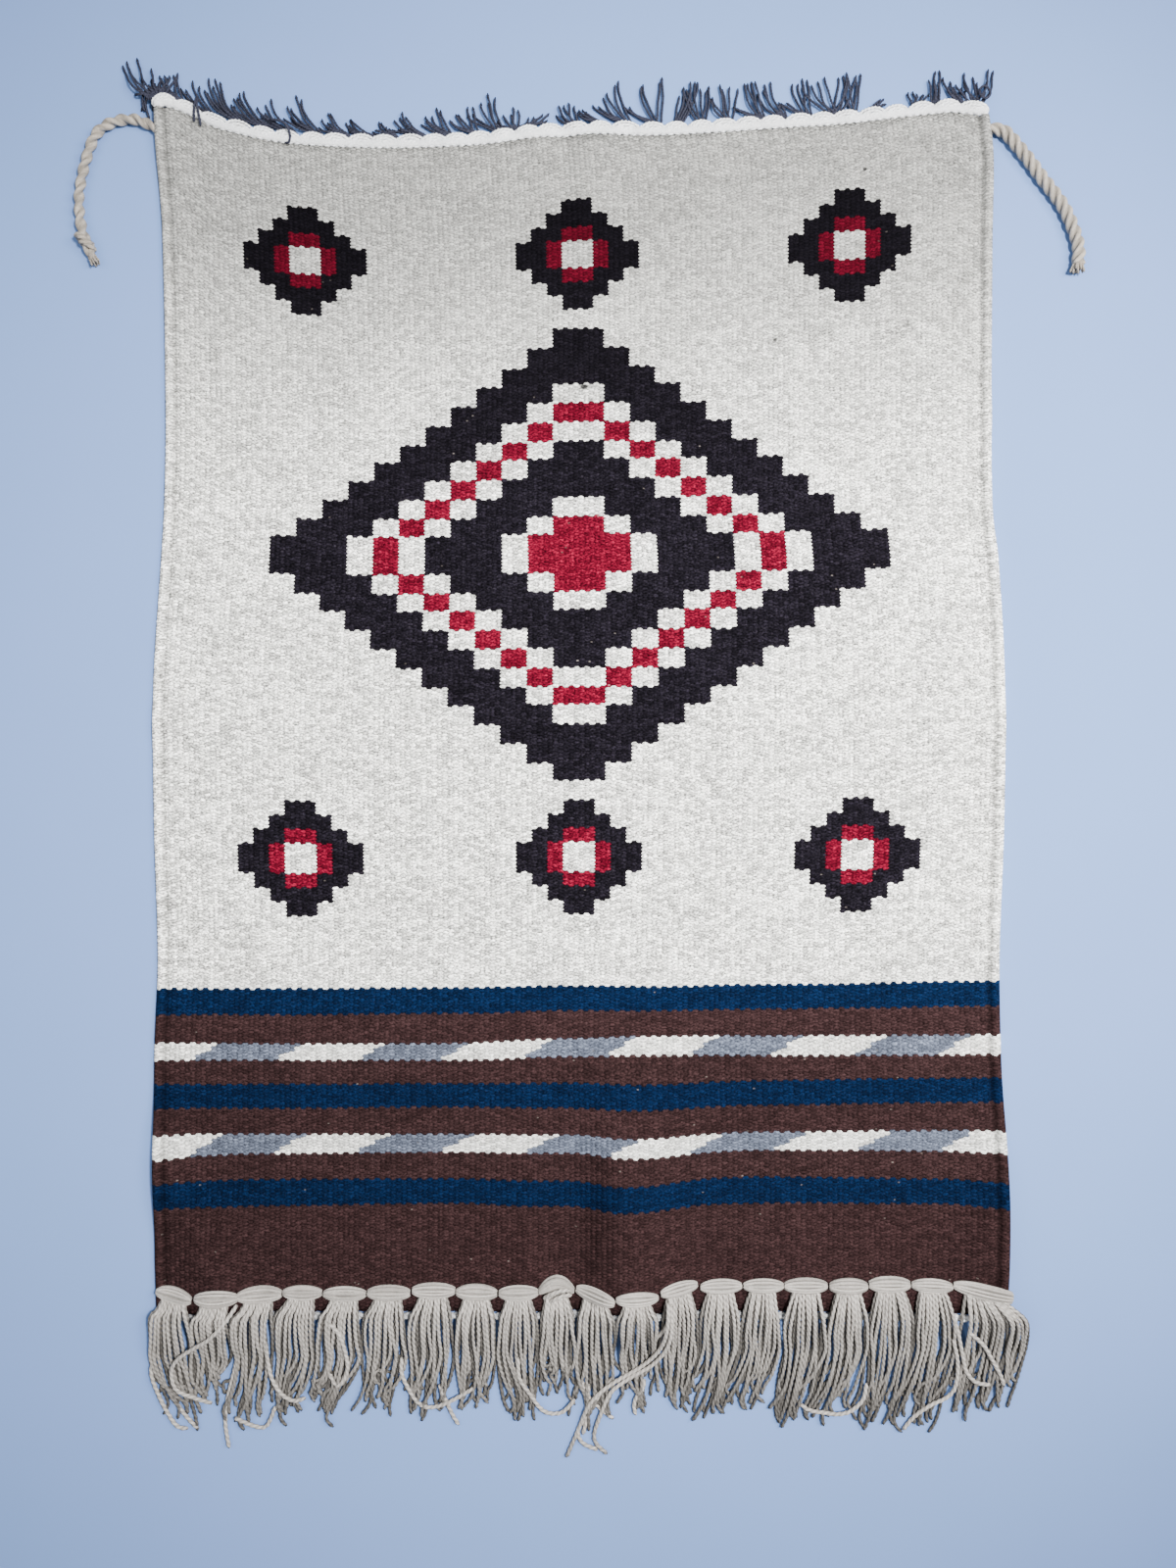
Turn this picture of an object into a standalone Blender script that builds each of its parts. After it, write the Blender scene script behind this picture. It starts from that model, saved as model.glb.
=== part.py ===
"""Woven wool rug with twined edge cords, warp ends, tassels and corner ropes.

The rug lies flat on the plane z = 0, in metres. +X runs across it to the right,
+Y runs up it to the edge with the warp ends, and +Z is up. The origin is the
middle of the piece's footprint, fringe included and corner ropes left out.
The tables below are in millimetres.
"""

import math
import random
from collections import namedtuple

import bmesh
import bpy
from mathutils import Vector

MM = 0.001
OBJECT_NAME = "woven_wool_rug"

# Middle of the footprint in the tables' own coordinates.
FOOTPRINT_MIDDLE = (-2.71, -0.15)

# Cloth
CLOTH_THICKNESS = 3.0
SELVEDGE_THICKNESS = 4.6
GROOVE_THICKNESS = 2.3
PIECE_GAP = 0.4

# Twined edge cords
TOP_CORD_HALF_WIDTH = 4.4
TOP_CORD_HEIGHT = 7.0
TOP_CORD_LOBE = 1.3
TOP_CORD_LOBES = 34
BOTTOM_CORD_HALF_WIDTH = 2.9
BOTTOM_CORD_HEIGHT = 5.4
BOTTOM_CORD_LOBE = 0.7
BOTTOM_CORD_LOBES = 30
EDGE_CORD_SIDES = 6

# Warp ends, on four strips that part at the breaks
STRIP_WIDTH = 1.8
STRIP_HEIGHT = 2.4
STRIP_INSET = 1.6
STRIP_BREAKS = (-227.5, -58.0, 125.5)
THRUM_WIDTH = 1.7
THRUM_HEIGHT = 1.5
THRUM_ROOT_STEP = 2.6
THRUM_FAN = 5.0

# Tassels
HEAD_HEIGHT = 7.6
TASSEL_STRANDS = 8
STRAND_WIDTH = 2.1
STRAND_HEIGHT = 1.9
ROOT_SPREAD = 0.62
ROOT_HEIGHT = 1.9
PAST_CORD = 5.4
BELLY_DROP = 48.0

# Corner ropes
ROPE_TURN = 19.0
ROPE_RING_STEP = 2.4
ROPE_LOBE_DEPTH = 0.24
LEFT_ROPE_DIAMETER = 8.2
RIGHT_ROPE_DIAMETER = 9.4

Side = namedtuple("Side", "y left right")
SIDES = [
    Side(476.0, -310.4, 292.2),
    Side(436.0, -309.5, 297.5),
    Side(380.0, -305.6, 297.1),
    Side(245.0, -303.1, 296.4),
    Side(180.0, -304.3, 297.4),
    Side(146.0, -306.3, 301.5),
    Side(53.0, -312.0, 306.3),
    Side(-46.0, -311.6, 305.6),
    Side(-145.0, -308.8, 302.2),
    Side(-216.0, -311.3, 303.3),
    Side(-280.0, -310.8, 305.9),
    Side(-358.0, -311.0, 306.2),
    Side(-404.0, -309.8, 305.0),
]

# Middle line of the two edge cords. The top edge sags between its corners.
Edge = namedtuple("Edge", "x y")
TOP_EDGE = [
    Edge(-312.0, 474.2),
    Edge(-300.0, 475.4),
    Edge(-281.5, 469.5),
    Edge(-263.7, 461.6),
    Edge(-216.0, 451.4),
    Edge(-144.0, 447.7),
    Edge(-80.0, 449.8),
    Edge(-29.8, 454.8),
    Edge(15.6, 456.9),
    Edge(61.0, 457.1),
    Edge(144.0, 462.2),
    Edge(189.3, 465.2),
    Edge(261.6, 472.8),
    Edge(283.6, 469.5),
    Edge(294.0, 469.7),
]
BOTTOM_EDGE = [
    Edge(-312.0, -402.0),
    Edge(-96.0, -402.4),
    Edge(0.0, -401.0),
    Edge(35.0, -399.5),
    Edge(75.0, -401.0),
    Edge(272.0, -403.4),
    Edge(310.0, -400.5),
]

# Folds and lifted corners: each is a smooth hump with its own reach to each side.
Hump = namedtuple("Hump", "x y left right up down height")
HUMPS = [
    Hump(28.0, -322.0, 37.0, 66.0, 106.0, 300.0, 15.0),
    Hump(-42.0, -340.0, 45.0, 28.0, 110.0, 300.0, 2.8),
    Hump(2.0, 440.0, 15.0, 40.0, 300.0, 120.0, 2.4),
    Hump(-30.0, 440.0, 40.0, 15.0, 300.0, 120.0, 1.8),
    Hump(3.0, 90.0, 16.0, 36.0, 330.0, 330.0, 1.2),
    Hump(0.0, 25.0, 900.0, 900.0, 26.0, 22.0, 1.8),
    Hump(250.0, 250.0, 420.0, 120.0, 22.0, 20.0, 1.5),
    Hump(-266.0, -400.0, 38.0, 42.0, 105.0, 300.0, 9.0),
    Hump(-311.0, -294.0, 60.0, 34.0, 70.0, 60.0, 6.0),
    Hump(309.0, -335.0, 50.0, 70.0, 110.0, 200.0, 11.0),
    Hump(-312.0, 478.0, 60.0, 45.0, 60.0, 70.0, 4.5),
    Hump(294.0, 474.0, 45.0, 60.0, 60.0, 70.0, 4.5),
]

# Columns of the cloth, in millimetres in from each selvedge and then across.
SELVEDGE_COLUMNS = (
    (0.0, CLOTH_THICKNESS),
    (2.4, SELVEDGE_THICKNESS),
    (5.8, SELVEDGE_THICKNESS),
    (8.6, GROOVE_THICKNESS),
    (11.4, CLOTH_THICKNESS),
)
CLOTH_COLUMNS = (
    -285.0, -266.0, -245.0, -224.0, -170.0, -115.0, -75.0, -42.0, -26.0, -12.0,
    3.0, 15.0, 28.0, 42.0, 60.0, 78.0, 100.0, 160.0, 220.0, 264.0,
)
CLOTH_ROWS = (
    468.0, 440.0, 405.0, 340.0, 272.0, 250.0, 230.0, 150.0,
    51.0, 25.0, 3.0, -80.0, -160.0, -216.0, -248.0,
    -280.0, -310.0, -340.0, -370.0, -402.0,
)

# Groups of warp ends along the top edge: middle, count, lean from upright, length.
Group = namedtuple("Group", "x count lean length")
THRUM_GROUPS = [
    Group(-303.0, 4, -38.0, 26.0),
    Group(-277.0, 3, -26.0, 24.0),
    Group(-258.0, 3, -24.0, 26.0),
    Group(-238.0, 3, -22.0, 24.0),
    Group(-217.0, 3, -26.0, 19.0),
    Group(-196.0, 3, -28.0, 22.0),
    Group(-176.0, 3, -30.0, 15.0),
    Group(-156.0, 3, -26.0, 12.0),
    Group(-126.0, 3, -22.0, 14.0),
    Group(-104.0, 3, -16.0, 17.0),
    Group(-84.0, 3, -12.0, 13.0),
    Group(-68.0, 4, -14.0, 22.0),
    Group(-48.0, 3, -10.0, 16.0),
    Group(-26.0, 3, -8.0, 11.0),
    Group(4.0, 3, 10.0, 14.0),
    Group(24.0, 3, -6.0, 23.0),
    Group(44.0, 4, -4.0, 30.0),
    Group(76.0, 4, 8.0, 25.0),
    Group(100.0, 3, 6.0, 24.0),
    Group(118.0, 3, -4.0, 25.0),
    Group(133.0, 3, 8.0, 24.0),
    Group(152.0, 3, -6.0, 21.0),
    Group(166.0, 3, 6.0, 26.0),
    Group(187.0, 4, 4.0, 27.0),
    Group(210.0, 3, 10.0, 12.0),
    Group(248.0, 3, -4.0, 18.0),
    Group(268.0, 3, 3.0, 20.0),
    Group(288.0, 4, 14.0, 30.0),
]

# Tassels: head middle, half length, half depth and tilt, then the strands' middle
# and half spread at their belly and at their tips, the usual tip and the longest one.
Tassel = namedtuple(
    "Tassel", "x y half depth tilt belly belly_half tip tip_half tip_y longest_y")
TASSELS = [
    Tassel(-293.2, -384.4, 13.4, 6.6, -10.0, -300.5, 16.2, -293.3, 11.5, -474.0, -486.0),
    Tassel(-261.8, -384.7, 15.0, 6.8, 0.0, -268.5, 11.5, -270.5, 8.0, -458.0, -468.0),
    Tassel(-231.9, -384.1, 14.9, 6.8, 0.0, -239.2, 12.5, -246.5, 12.5, -476.0, -499.0),
    Tassel(-201.7, -383.2, 13.7, 6.0, 0.0, -208.3, 14.2, -215.5, 11.5, -470.0, -484.0),
    Tassel(-171.4, -384.1, 15.0, 6.2, 0.0, -177.2, 13.2, -188.5, 10.5, -469.0, -484.0),
    Tassel(-139.7, -383.5, 15.0, 6.4, 0.0, -144.0, 13.6, -149.0, 11.0, -467.0, -476.0),
    Tassel(-107.4, -381.7, 15.0, 6.2, 0.0, -110.6, 14.2, -114.2, 15.0, -470.0, -480.0),
    Tassel(-76.5, -382.8, 14.3, 6.8, 0.0, -78.3, 13.2, -80.2, 11.0, -464.0, -471.0),
    Tassel(-46.4, -382.4, 13.6, 6.3, 2.0, -46.8, 12.9, -46.1, 12.3, -472.0, -479.0),
    Tassel(-19.2, -379.4, 11.6, 8.2, 0.0, -18.6, 10.6, -19.9, 9.4, -461.0, -468.0),
    Tassel(8.7, -382.9, 13.5, 6.2, -12.0, 8.7, 11.8, 8.5, 12.6, -470.0, -505.0),
    Tassel(38.4, -383.0, 14.6, 6.0, 0.0, 38.9, 13.6, 39.7, 12.6, -464.0, -473.0),
    Tassel(68.6, -378.7, 13.1, 5.8, 9.0, 69.8, 11.9, 66.6, 8.5, -464.0, -472.0),
    Tassel(99.0, -378.7, 14.5, 6.2, 2.0, 98.9, 12.6, 90.0, 11.2, -471.0, -479.0),
    Tassel(129.5, -378.3, 14.0, 6.0, 0.0, 127.9, 11.9, 118.4, 12.6, -465.0, -474.0),
    Tassel(160.0, -378.5, 15.1, 6.4, 0.0, 158.1, 13.6, 147.5, 11.9, -475.0, -484.0),
    Tassel(190.7, -378.7, 13.4, 6.6, 0.0, 190.4, 12.7, 177.2, 13.2, -471.0, -482.0),
    Tassel(220.1, -377.4, 14.4, 6.4, 0.0, 220.7, 12.7, 211.3, 12.7, -480.0, -486.0),
    Tassel(250.6, -378.2, 14.4, 6.0, -3.0, 250.2, 12.3, 241.1, 12.7, -476.0, -487.0),
    Tassel(285.3, -380.0, 19.6, 6.2, -8.0, 291.8, 24.6, 282.0, 22.5, -470.0, -478.0),
]

# Cross-section of a tassel's head along its length: place and fullness.
HEAD_STATIONS = ((-1.0, 0.30), (-0.82, 0.72), (-0.4, 1.0), (0.4, 1.0), (0.82, 0.72), (1.0, 0.30))
HEAD_SIDES = 6
HEAD_REACH = (-6.0, -3.0, 0.0, 3.0, 6.0)

# Routes of the two corner ropes on the floor, from the cloth to the free end.
LEFT_ROPE_ROUTE = [
    (-313.4, 458.6), (-323.5, 462.8), (-333.5, 462.6), (-343.5, 459.4),
    (-351.5, 453.0), (-356.8, 441.8), (-361.6, 424.8), (-364.3, 407.4),
    (-363.4, 390.2), (-359.6, 376.8), (-354.6, 364.2), (-349.0, 358.8),
]
RIGHT_ROPE_ROUTE = [
    (299.6, 455.8), (305.6, 454.2), (314.1, 443.6), (322.7, 432.6),
    (331.4, 420.6), (339.1, 410.8), (346.7, 400.0), (352.0, 389.0),
    (356.4, 377.0), (358.1, 367.2), (357.4, 357.6),
]

# Colours: red, green, blue and roughness.
FINISHES = {
    "woven_wool": (0.52, 0.49, 0.45, 0.92),
    "edge_cotton": (0.82, 0.84, 0.86, 0.85),
    "warp_yarn": (0.045, 0.055, 0.09, 0.9),
    "tassel_yarn": (0.55, 0.49, 0.42, 0.9),
    "rope_yarn": (0.55, 0.49, 0.42, 0.9),
}


def clear_scene():
    """Remove every object that the scene holds."""
    for item in list(bpy.data.objects):
        bpy.data.objects.remove(item, do_unlink=True)


def new_collection(name):
    """Make a collection and link it to the scene."""
    collection = bpy.data.collections.new(name)
    bpy.context.scene.collection.children.link(collection)
    return collection


def new_material(name):
    """Make a plain Principled material from the table of finishes."""
    red, green, blue, roughness = FINISHES[name]
    material = bpy.data.materials.new(name)
    material.use_nodes = True
    shader = material.node_tree.nodes["Principled BSDF"]
    shader.inputs["Base Color"].default_value = (red, green, blue, 1.0)
    shader.inputs["Roughness"].default_value = roughness
    shader.inputs["Metallic"].default_value = 0.0
    return material


def smooth_read(rows, at):
    """Read a smooth curve through (place, value) rows that rise or fall in place."""
    rows = sorted(rows)
    at = min(max(at, rows[0][0]), rows[-1][0])
    index = 0
    while index < len(rows) - 2 and rows[index + 1][0] < at:
        index += 1
    before = rows[max(index - 1, 0)]
    first = rows[index]
    second = rows[index + 1]
    after = rows[min(index + 2, len(rows) - 1)]
    span = second[0] - first[0]
    slope_in = (second[1] - before[1]) / (second[0] - before[0]) * span
    slope_out = (after[1] - first[1]) / (after[0] - first[0]) * span
    u = (at - first[0]) / span
    return (
        (2 * u**3 - 3 * u**2 + 1) * first[1]
        + (u**3 - 2 * u**2 + u) * slope_in
        + (-2 * u**3 + 3 * u**2) * second[1]
        + (u**3 - u**2) * slope_out
    )


def left_edge(y):
    """Place of the left selvedge at a height up the rug."""
    return smooth_read([(row.y, row.left) for row in SIDES], y)


def right_edge(y):
    """Place of the right selvedge at a height up the rug."""
    return smooth_read([(row.y, row.right) for row in SIDES], y)


def edge_line(edge, x):
    """Middle line of an edge cord at a place across the rug."""
    return smooth_read([(row.x, row.y) for row in edge], x)


def lift(x, y):
    """Height of the cloth's underside over the floor."""
    total = 0.0
    for hump in HUMPS:
        across = (x - hump.x) / (hump.right if x > hump.x else hump.left)
        along = (y - hump.y) / (hump.up if y > hump.y else hump.down)
        if abs(across) < 1.0 and abs(along) < 1.0:
            rise = 0.25 * (1 + math.cos(math.pi * across)) * (1 + math.cos(math.pi * along))
            total += hump.height * rise
    return total


def cloth_grid():
    """Corner points of the cloth: rows of (x, y, underside, thickness)."""
    top_inset = TOP_CORD_HALF_WIDTH + PIECE_GAP
    bottom_inset = BOTTOM_CORD_HALF_WIDTH + PIECE_GAP
    grid = []
    for row_y in CLOTH_ROWS:
        left = left_edge(row_y)
        right = right_edge(row_y)
        columns = [(left + inset, thickness) for inset, thickness in SELVEDGE_COLUMNS]
        columns += [(x, CLOTH_THICKNESS) for x in CLOTH_COLUMNS]
        columns += [(right - inset, thickness) for inset, thickness in reversed(SELVEDGE_COLUMNS)]
        share = (row_y - CLOTH_ROWS[-1]) / (CLOTH_ROWS[0] - CLOTH_ROWS[-1])
        row = []
        for x, thickness in columns:
            high = edge_line(TOP_EDGE, x) - top_inset
            low = edge_line(BOTTOM_EDGE, x) + bottom_inset
            top_pull = (high - CLOTH_ROWS[0]) * share**3
            bottom_pull = (low - CLOTH_ROWS[-1]) * (1 - share)**3
            y = row_y + top_pull + bottom_pull
            row.append((x, y, lift(x, y), thickness))
        grid.append(row)
    return grid


def mesh_object(name, vertices, faces, collection, material):
    """Make an object from vertices in millimetres and faces."""
    middle_x, middle_y = FOOTPRINT_MIDDLE
    mesh = bpy.data.meshes.new(name)
    placed = [((x - middle_x) * MM, (y - middle_y) * MM, z * MM) for x, y, z in vertices]
    mesh.from_pydata(placed, [], faces)
    work = bmesh.new()
    work.from_mesh(mesh)
    bmesh.ops.recalc_face_normals(work, faces=work.faces[:])
    work.to_mesh(mesh)
    work.free()
    mesh.materials.append(material)
    item = bpy.data.objects.new(name, mesh)
    collection.objects.link(item)
    return item


def build_panel(grid, collection, material):
    """The woven cloth: a sheet with a true underside and raised selvedges."""
    rows = len(grid)
    columns = len(grid[0])
    count = rows * columns
    upper = [(x, y, low + thick) for row in grid for x, y, low, thick in row]
    lower = [(x, y, low) for row in grid for x, y, low, thick in row]
    faces = []
    for r in range(rows - 1):
        for c in range(columns - 1):
            a = r * columns + c
            quad = (a, a + 1, a + columns + 1, a + columns)
            faces.append(quad)
            faces.append(tuple(count + i for i in reversed(quad)))
    rim = [c for c in range(columns)]
    rim += [r * columns + columns - 1 for r in range(1, rows)]
    rim += [(rows - 1) * columns + c for c in range(columns - 2, -1, -1)]
    rim += [r * columns for r in range(rows - 2, 0, -1)]
    for i, a in enumerate(rim):
        b = rim[(i + 1) % len(rim)]
        faces.append((a, count + a, count + b, b))
    return mesh_object("rug_panel", upper + lower, faces, collection, material)


def loft(rings):
    """Vertices and faces of a closed tube through rings of equal size."""
    sides = len(rings[0])
    vertices = [point for ring in rings for point in ring]
    faces = []
    for i in range(len(rings) - 1):
        for j in range(sides):
            k = (j + 1) % sides
            a = i * sides
            b = a + sides
            faces.append((a + j, a + k, b + k, b + j))
    faces.append(tuple(range(sides - 1, -1, -1)))
    last = (len(rings) - 1) * sides
    faces.append(tuple(range(last, last + sides)))
    return vertices, faces


def joined(parts):
    """Vertices and faces of several separate shapes as one list."""
    vertices = []
    faces = []
    for part_vertices, part_faces in parts:
        offset = len(vertices)
        vertices += part_vertices
        faces += [tuple(offset + i for i in face) for face in part_faces]
    return vertices, faces


def read_row(row, x, part):
    """Read a grid row's broken line: part 1 is y, 2 the underside, 3 the thickness."""
    x = min(max(x, row[0][0]), row[-1][0])
    for first, second in zip(row, row[1:]):
        if x <= second[0]:
            break
    share = (x - first[0]) / (second[0] - first[0])
    return first[part] + share * (second[part] - first[part])


def cloth_top(grid, x, y):
    """Height of the cloth's upper side, read from its own facets."""
    for upper, lower in zip(grid, grid[1:]):
        high = read_row(upper, x, 1)
        low = read_row(lower, x, 1)
        if y >= low:
            break
    share = min(max((y - low) / (high - low), 0.0), 1.0)
    top_upper = read_row(upper, x, 2) + read_row(upper, x, 3)
    top_lower = read_row(lower, x, 2) + read_row(lower, x, 3)
    return top_lower + share * (top_upper - top_lower)


def build_edge_cord(name, row, outward, sizes, collection, material):
    """A twined cord that follows the cloth's own edge, with lobes on its outer side."""
    half_width, height, lobe, lobes = sizes
    first_x = row[0][0] + 0.5
    last_x = row[-1][0] - 0.5
    steps = 2 * lobes
    rings = []
    for i in range(steps + 1):
        x = first_x + (last_x - first_x) * i / steps
        middle = read_row(row, x, 1) + outward * (half_width + PIECE_GAP)
        base = read_row(row, x, 2)
        swell = lobe if i % 2 else 0.0
        end_scale = 0.55 if i in (0, steps) else 1.0
        ring = []
        for j in range(EDGE_CORD_SIDES):
            angle = math.tau * j / EDGE_CORD_SIDES
            side = math.cos(angle)
            reach = half_width + (swell if side * outward > 0 else 0.0)
            y = middle + side * reach * end_scale
            rise = math.sin(angle) / math.sin(math.pi / 3) * end_scale
            ring.append((x, y, base + height * 0.5 * (1 + rise)))
        rings.append(ring)
    vertices, faces = loft(rings)
    return mesh_object(name, vertices, faces, collection, material)


def strand_rings(path, width, height):
    """Three-cornered rings that stand with a flat side down along a path."""
    rings = []
    for i, point in enumerate(path):
        before = path[max(i - 1, 0)]
        after = path[min(i + 1, len(path) - 1)]
        along = Vector((after[0] - before[0], after[1] - before[1]))
        along.normalize()
        side = Vector((-along.y, along.x)) * width * 0.5
        x, y, base = point
        scale = 0.6 if i == len(path) - 1 else 1.0
        rings.append([
            (x + side.x * scale, y + side.y * scale, base),
            (x - side.x * scale, y - side.y * scale, base),
            (x, y, base + height * scale),
        ])
    return rings


def fuse(name, body_shape, strand_shapes, collection, material):
    """Unite a backing with its strands, whose roots lie inside it, as one solid."""
    body = mesh_object(name, *body_shape, collection, material)
    strands = mesh_object(name + "_strands", *joined(strand_shapes), collection, material)
    union = body.modifiers.new("roots", "BOOLEAN")
    union.operation = "UNION"
    union.solver = "EXACT"
    union.object = strands
    bpy.context.view_layer.update()
    evaluated = body.evaluated_get(bpy.context.evaluated_depsgraph_get())
    fused_mesh = bpy.data.meshes.new_from_object(evaluated)
    fused_mesh.name = name
    body.modifiers.remove(union)
    body.data = fused_mesh
    bpy.data.objects.remove(strands, do_unlink=True)
    return body


def thrum_strand(group, place, row, offset, chance):
    """One warp end: it leaves the strip and bends a little as it lies on the floor."""
    x = group.x + place * THRUM_ROOT_STEP
    y = read_row(row, x, 1) + offset
    base = read_row(row, x, 2) + PIECE_GAP
    lean = math.radians(group.lean + place * THRUM_FAN)
    half = group.length * chance.uniform(0.78, 1.0) * 0.5
    bend = lean + math.radians(chance.uniform(0.0, 4.0)) * place
    middle_x = x + math.sin(lean) * half
    middle_y = y + math.cos(lean) * half
    path = [
        (x, y, base),
        (middle_x, middle_y, 0.0),
        (middle_x + math.sin(bend) * half, middle_y + math.cos(bend) * half, 0.0),
    ]
    return loft(strand_rings(path, THRUM_WIDTH, THRUM_HEIGHT))


def build_thrums(number, first_x, last_x, row, collection, material):
    """One run of warp ends: fans of short strands on a strip outside the top cord."""
    offset = 2 * TOP_CORD_HALF_WIDTH + TOP_CORD_LOBE + 2 * PIECE_GAP + STRIP_WIDTH * 0.5
    stations = [first_x] + [point[0] for point in row if first_x < point[0] < last_x] + [last_x]
    half = STRIP_WIDTH * 0.5
    strip = []
    for x in stations:
        y = read_row(row, x, 1) + offset
        base = read_row(row, x, 2)
        strip.append([
            (x, y - half, base), (x, y + half, base),
            (x, y + half, base + STRIP_HEIGHT), (x, y - half, base + STRIP_HEIGHT),
        ])
    chance = random.Random(number)
    strands = []
    for group in THRUM_GROUPS:
        if first_x < group.x < last_x:
            for i in range(group.count):
                place = i - (group.count - 1) * 0.5
                strands.append(thrum_strand(group, place, row, offset, chance))
    name = "warp_thrums_%d" % number
    return fuse(name, loft(strip), strands, collection, material)


def head_shape(tassel, base):
    """The flat bound head of a tassel, lying along the cloth's edge."""
    tilt = math.radians(tassel.tilt)
    rings = []
    for place, fullness in HEAD_STATIONS:
        ring = []
        for j in range(HEAD_SIDES):
            angle = math.tau * j / HEAD_SIDES
            u = place * tassel.half
            v = math.cos(angle) * tassel.depth * fullness
            x = tassel.x + u * math.cos(tilt) - v * math.sin(tilt)
            y = tassel.y + u * math.sin(tilt) + v * math.cos(tilt)
            rise = (1 + math.sin(angle) / math.sin(math.pi / 3)) * 0.5
            z = base(x, y) + HEAD_HEIGHT * (0.5 + (rise - 0.5) * fullness)
            ring.append((x, y, z))
        rings.append(ring)
    return loft(rings)


def build_tassel(number, tassel, grid, collection, material):
    """One tassel: a head on the cloth and strands that run over the edge to the floor."""
    def base(x, y):
        nearby = [cloth_top(grid, x + aside, y) for aside in HEAD_REACH]
        return max(nearby) + PIECE_GAP

    tilt = math.radians(tassel.tilt)
    chance = random.Random(100 + number)
    longest = chance.randrange(1, TASSEL_STRANDS - 1)
    strands = []
    for i in range(TASSEL_STRANDS):
        place = 2.0 * i / (TASSEL_STRANDS - 1) - 1.0
        root_u = place * tassel.half * ROOT_SPREAD
        root_x = tassel.x + root_u * math.cos(tilt)
        root_y = tassel.y + root_u * math.sin(tilt)
        over_x = (root_x + tassel.belly + place * tassel.belly_half) * 0.5
        over_y = read_row(grid[-1], over_x, 1) - PAST_CORD
        crest = max(read_row(grid[-1], over_x + aside, 2) for aside in HEAD_REACH)
        over_z = crest + BOTTOM_CORD_HEIGHT + 2 * PIECE_GAP
        belly_x = tassel.belly + place * tassel.belly_half
        belly_y = tassel.y - BELLY_DROP
        tip_x = tassel.tip + place * tassel.tip_half
        tip_y = tassel.tip_y + chance.uniform(-4.0, 10.0)
        if i == longest:
            tip_y = tassel.longest_y
        path = [
            (root_x, root_y, base(root_x, root_y) + ROOT_HEIGHT),
            (over_x, over_y, over_z),
            (belly_x, belly_y, 0.0),
            (tip_x, tip_y, 0.0),
        ]
        strands.append(loft(strand_rings(path, STRAND_WIDTH, STRAND_HEIGHT)))
    name = "tassel_%02d" % number
    return fuse(name, head_shape(tassel, base), strands, collection, material)


def smooth_route(points, step):
    """Evenly spaced points on a smooth curve through the route's own points."""
    points = [Vector(point) for point in points]
    fine = []
    for i in range(len(points) - 1):
        before = points[max(i - 1, 0)]
        first = points[i]
        second = points[i + 1]
        after = points[min(i + 2, len(points) - 1)]
        for k in range(20):
            u = k / 20.0
            fine.append(0.5 * (
                2 * first
                + (second - before) * u
                + (2 * before - 5 * first + 4 * second - after) * u**2
                + (3 * first - before - 3 * second + after) * u**3
            ))
    fine.append(points[-1])
    lengths = [0.0]
    for first, second in zip(fine, fine[1:]):
        lengths.append(lengths[-1] + (second - first).length)
    count = round(lengths[-1] / step)
    spaced = []
    index = 0
    for i in range(count + 1):
        target = lengths[-1] * i / count
        while index < len(fine) - 2 and lengths[index + 1] < target:
            index += 1
        span = lengths[index + 1] - lengths[index]
        spaced.append(fine[index].lerp(fine[index + 1], (target - lengths[index]) / span))
    return spaced


def build_rope(name, route, diameter, collection, material):
    """A corner rope lying on the floor, with its strands' twist raised in its section."""
    centres = smooth_route(route, ROPE_RING_STEP)
    radius = diameter * 0.5
    lobes = 3
    sides = 2 * lobes
    rings = []
    for i, centre in enumerate(centres):
        before = centres[max(i - 1, 0)]
        after = centres[min(i + 1, len(centres) - 1)]
        along = (after - before).normalized()
        side = Vector((-along.y, along.x))
        from_end = min(i, len(centres) - 1 - i)
        scale = 0.7 if from_end == 0 else 1.0
        turn = math.tau * i * ROPE_RING_STEP / ROPE_TURN
        ring = []
        for j in range(sides):
            angle = turn + math.tau * j / sides
            reach = radius * scale * (1.0 if j % 2 == 0 else 1.0 - ROPE_LOBE_DEPTH)
            x = centre.x + side.x * math.cos(angle) * reach
            y = centre.y + side.y * math.cos(angle) * reach
            ring.append((x, y, radius + math.sin(angle) * reach))
        rings.append(ring)
    vertices, faces = loft(rings)
    return mesh_object(name, vertices, faces, collection, material)


def main():
    """Build the whole rug in its own collection."""
    clear_scene()
    rug = new_collection(OBJECT_NAME)
    materials = {name: new_material(name) for name in FINISHES}
    grid = cloth_grid()
    build_panel(grid, rug, materials["woven_wool"])
    top_sizes = (TOP_CORD_HALF_WIDTH, TOP_CORD_HEIGHT, TOP_CORD_LOBE, TOP_CORD_LOBES)
    bottom_sizes = (BOTTOM_CORD_HALF_WIDTH, BOTTOM_CORD_HEIGHT, BOTTOM_CORD_LOBE,
                    BOTTOM_CORD_LOBES)
    build_edge_cord("top_edge_cord", grid[0], 1.0, top_sizes, rug, materials["edge_cotton"])
    build_edge_cord("bottom_edge_cord", grid[-1], -1.0, bottom_sizes, rug,
                    materials["edge_cotton"])
    top_row = grid[0]
    ends = (top_row[0][0] + STRIP_INSET, *STRIP_BREAKS, top_row[-1][0] - STRIP_INSET)
    for number, (first_x, last_x) in enumerate(zip(ends, ends[1:]), start=1):
        build_thrums(number, first_x + PIECE_GAP, last_x - PIECE_GAP, top_row, rug,
                     materials["warp_yarn"])
    for number, tassel in enumerate(TASSELS, start=1):
        build_tassel(number, tassel, grid, rug, materials["tassel_yarn"])
    build_rope("corner_rope_left", LEFT_ROPE_ROUTE, LEFT_ROPE_DIAMETER, rug,
               materials["rope_yarn"])
    build_rope("corner_rope_right", RIGHT_ROPE_ROUTE, RIGHT_ROPE_DIAMETER, rug,
               materials["rope_yarn"])


main()
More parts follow.
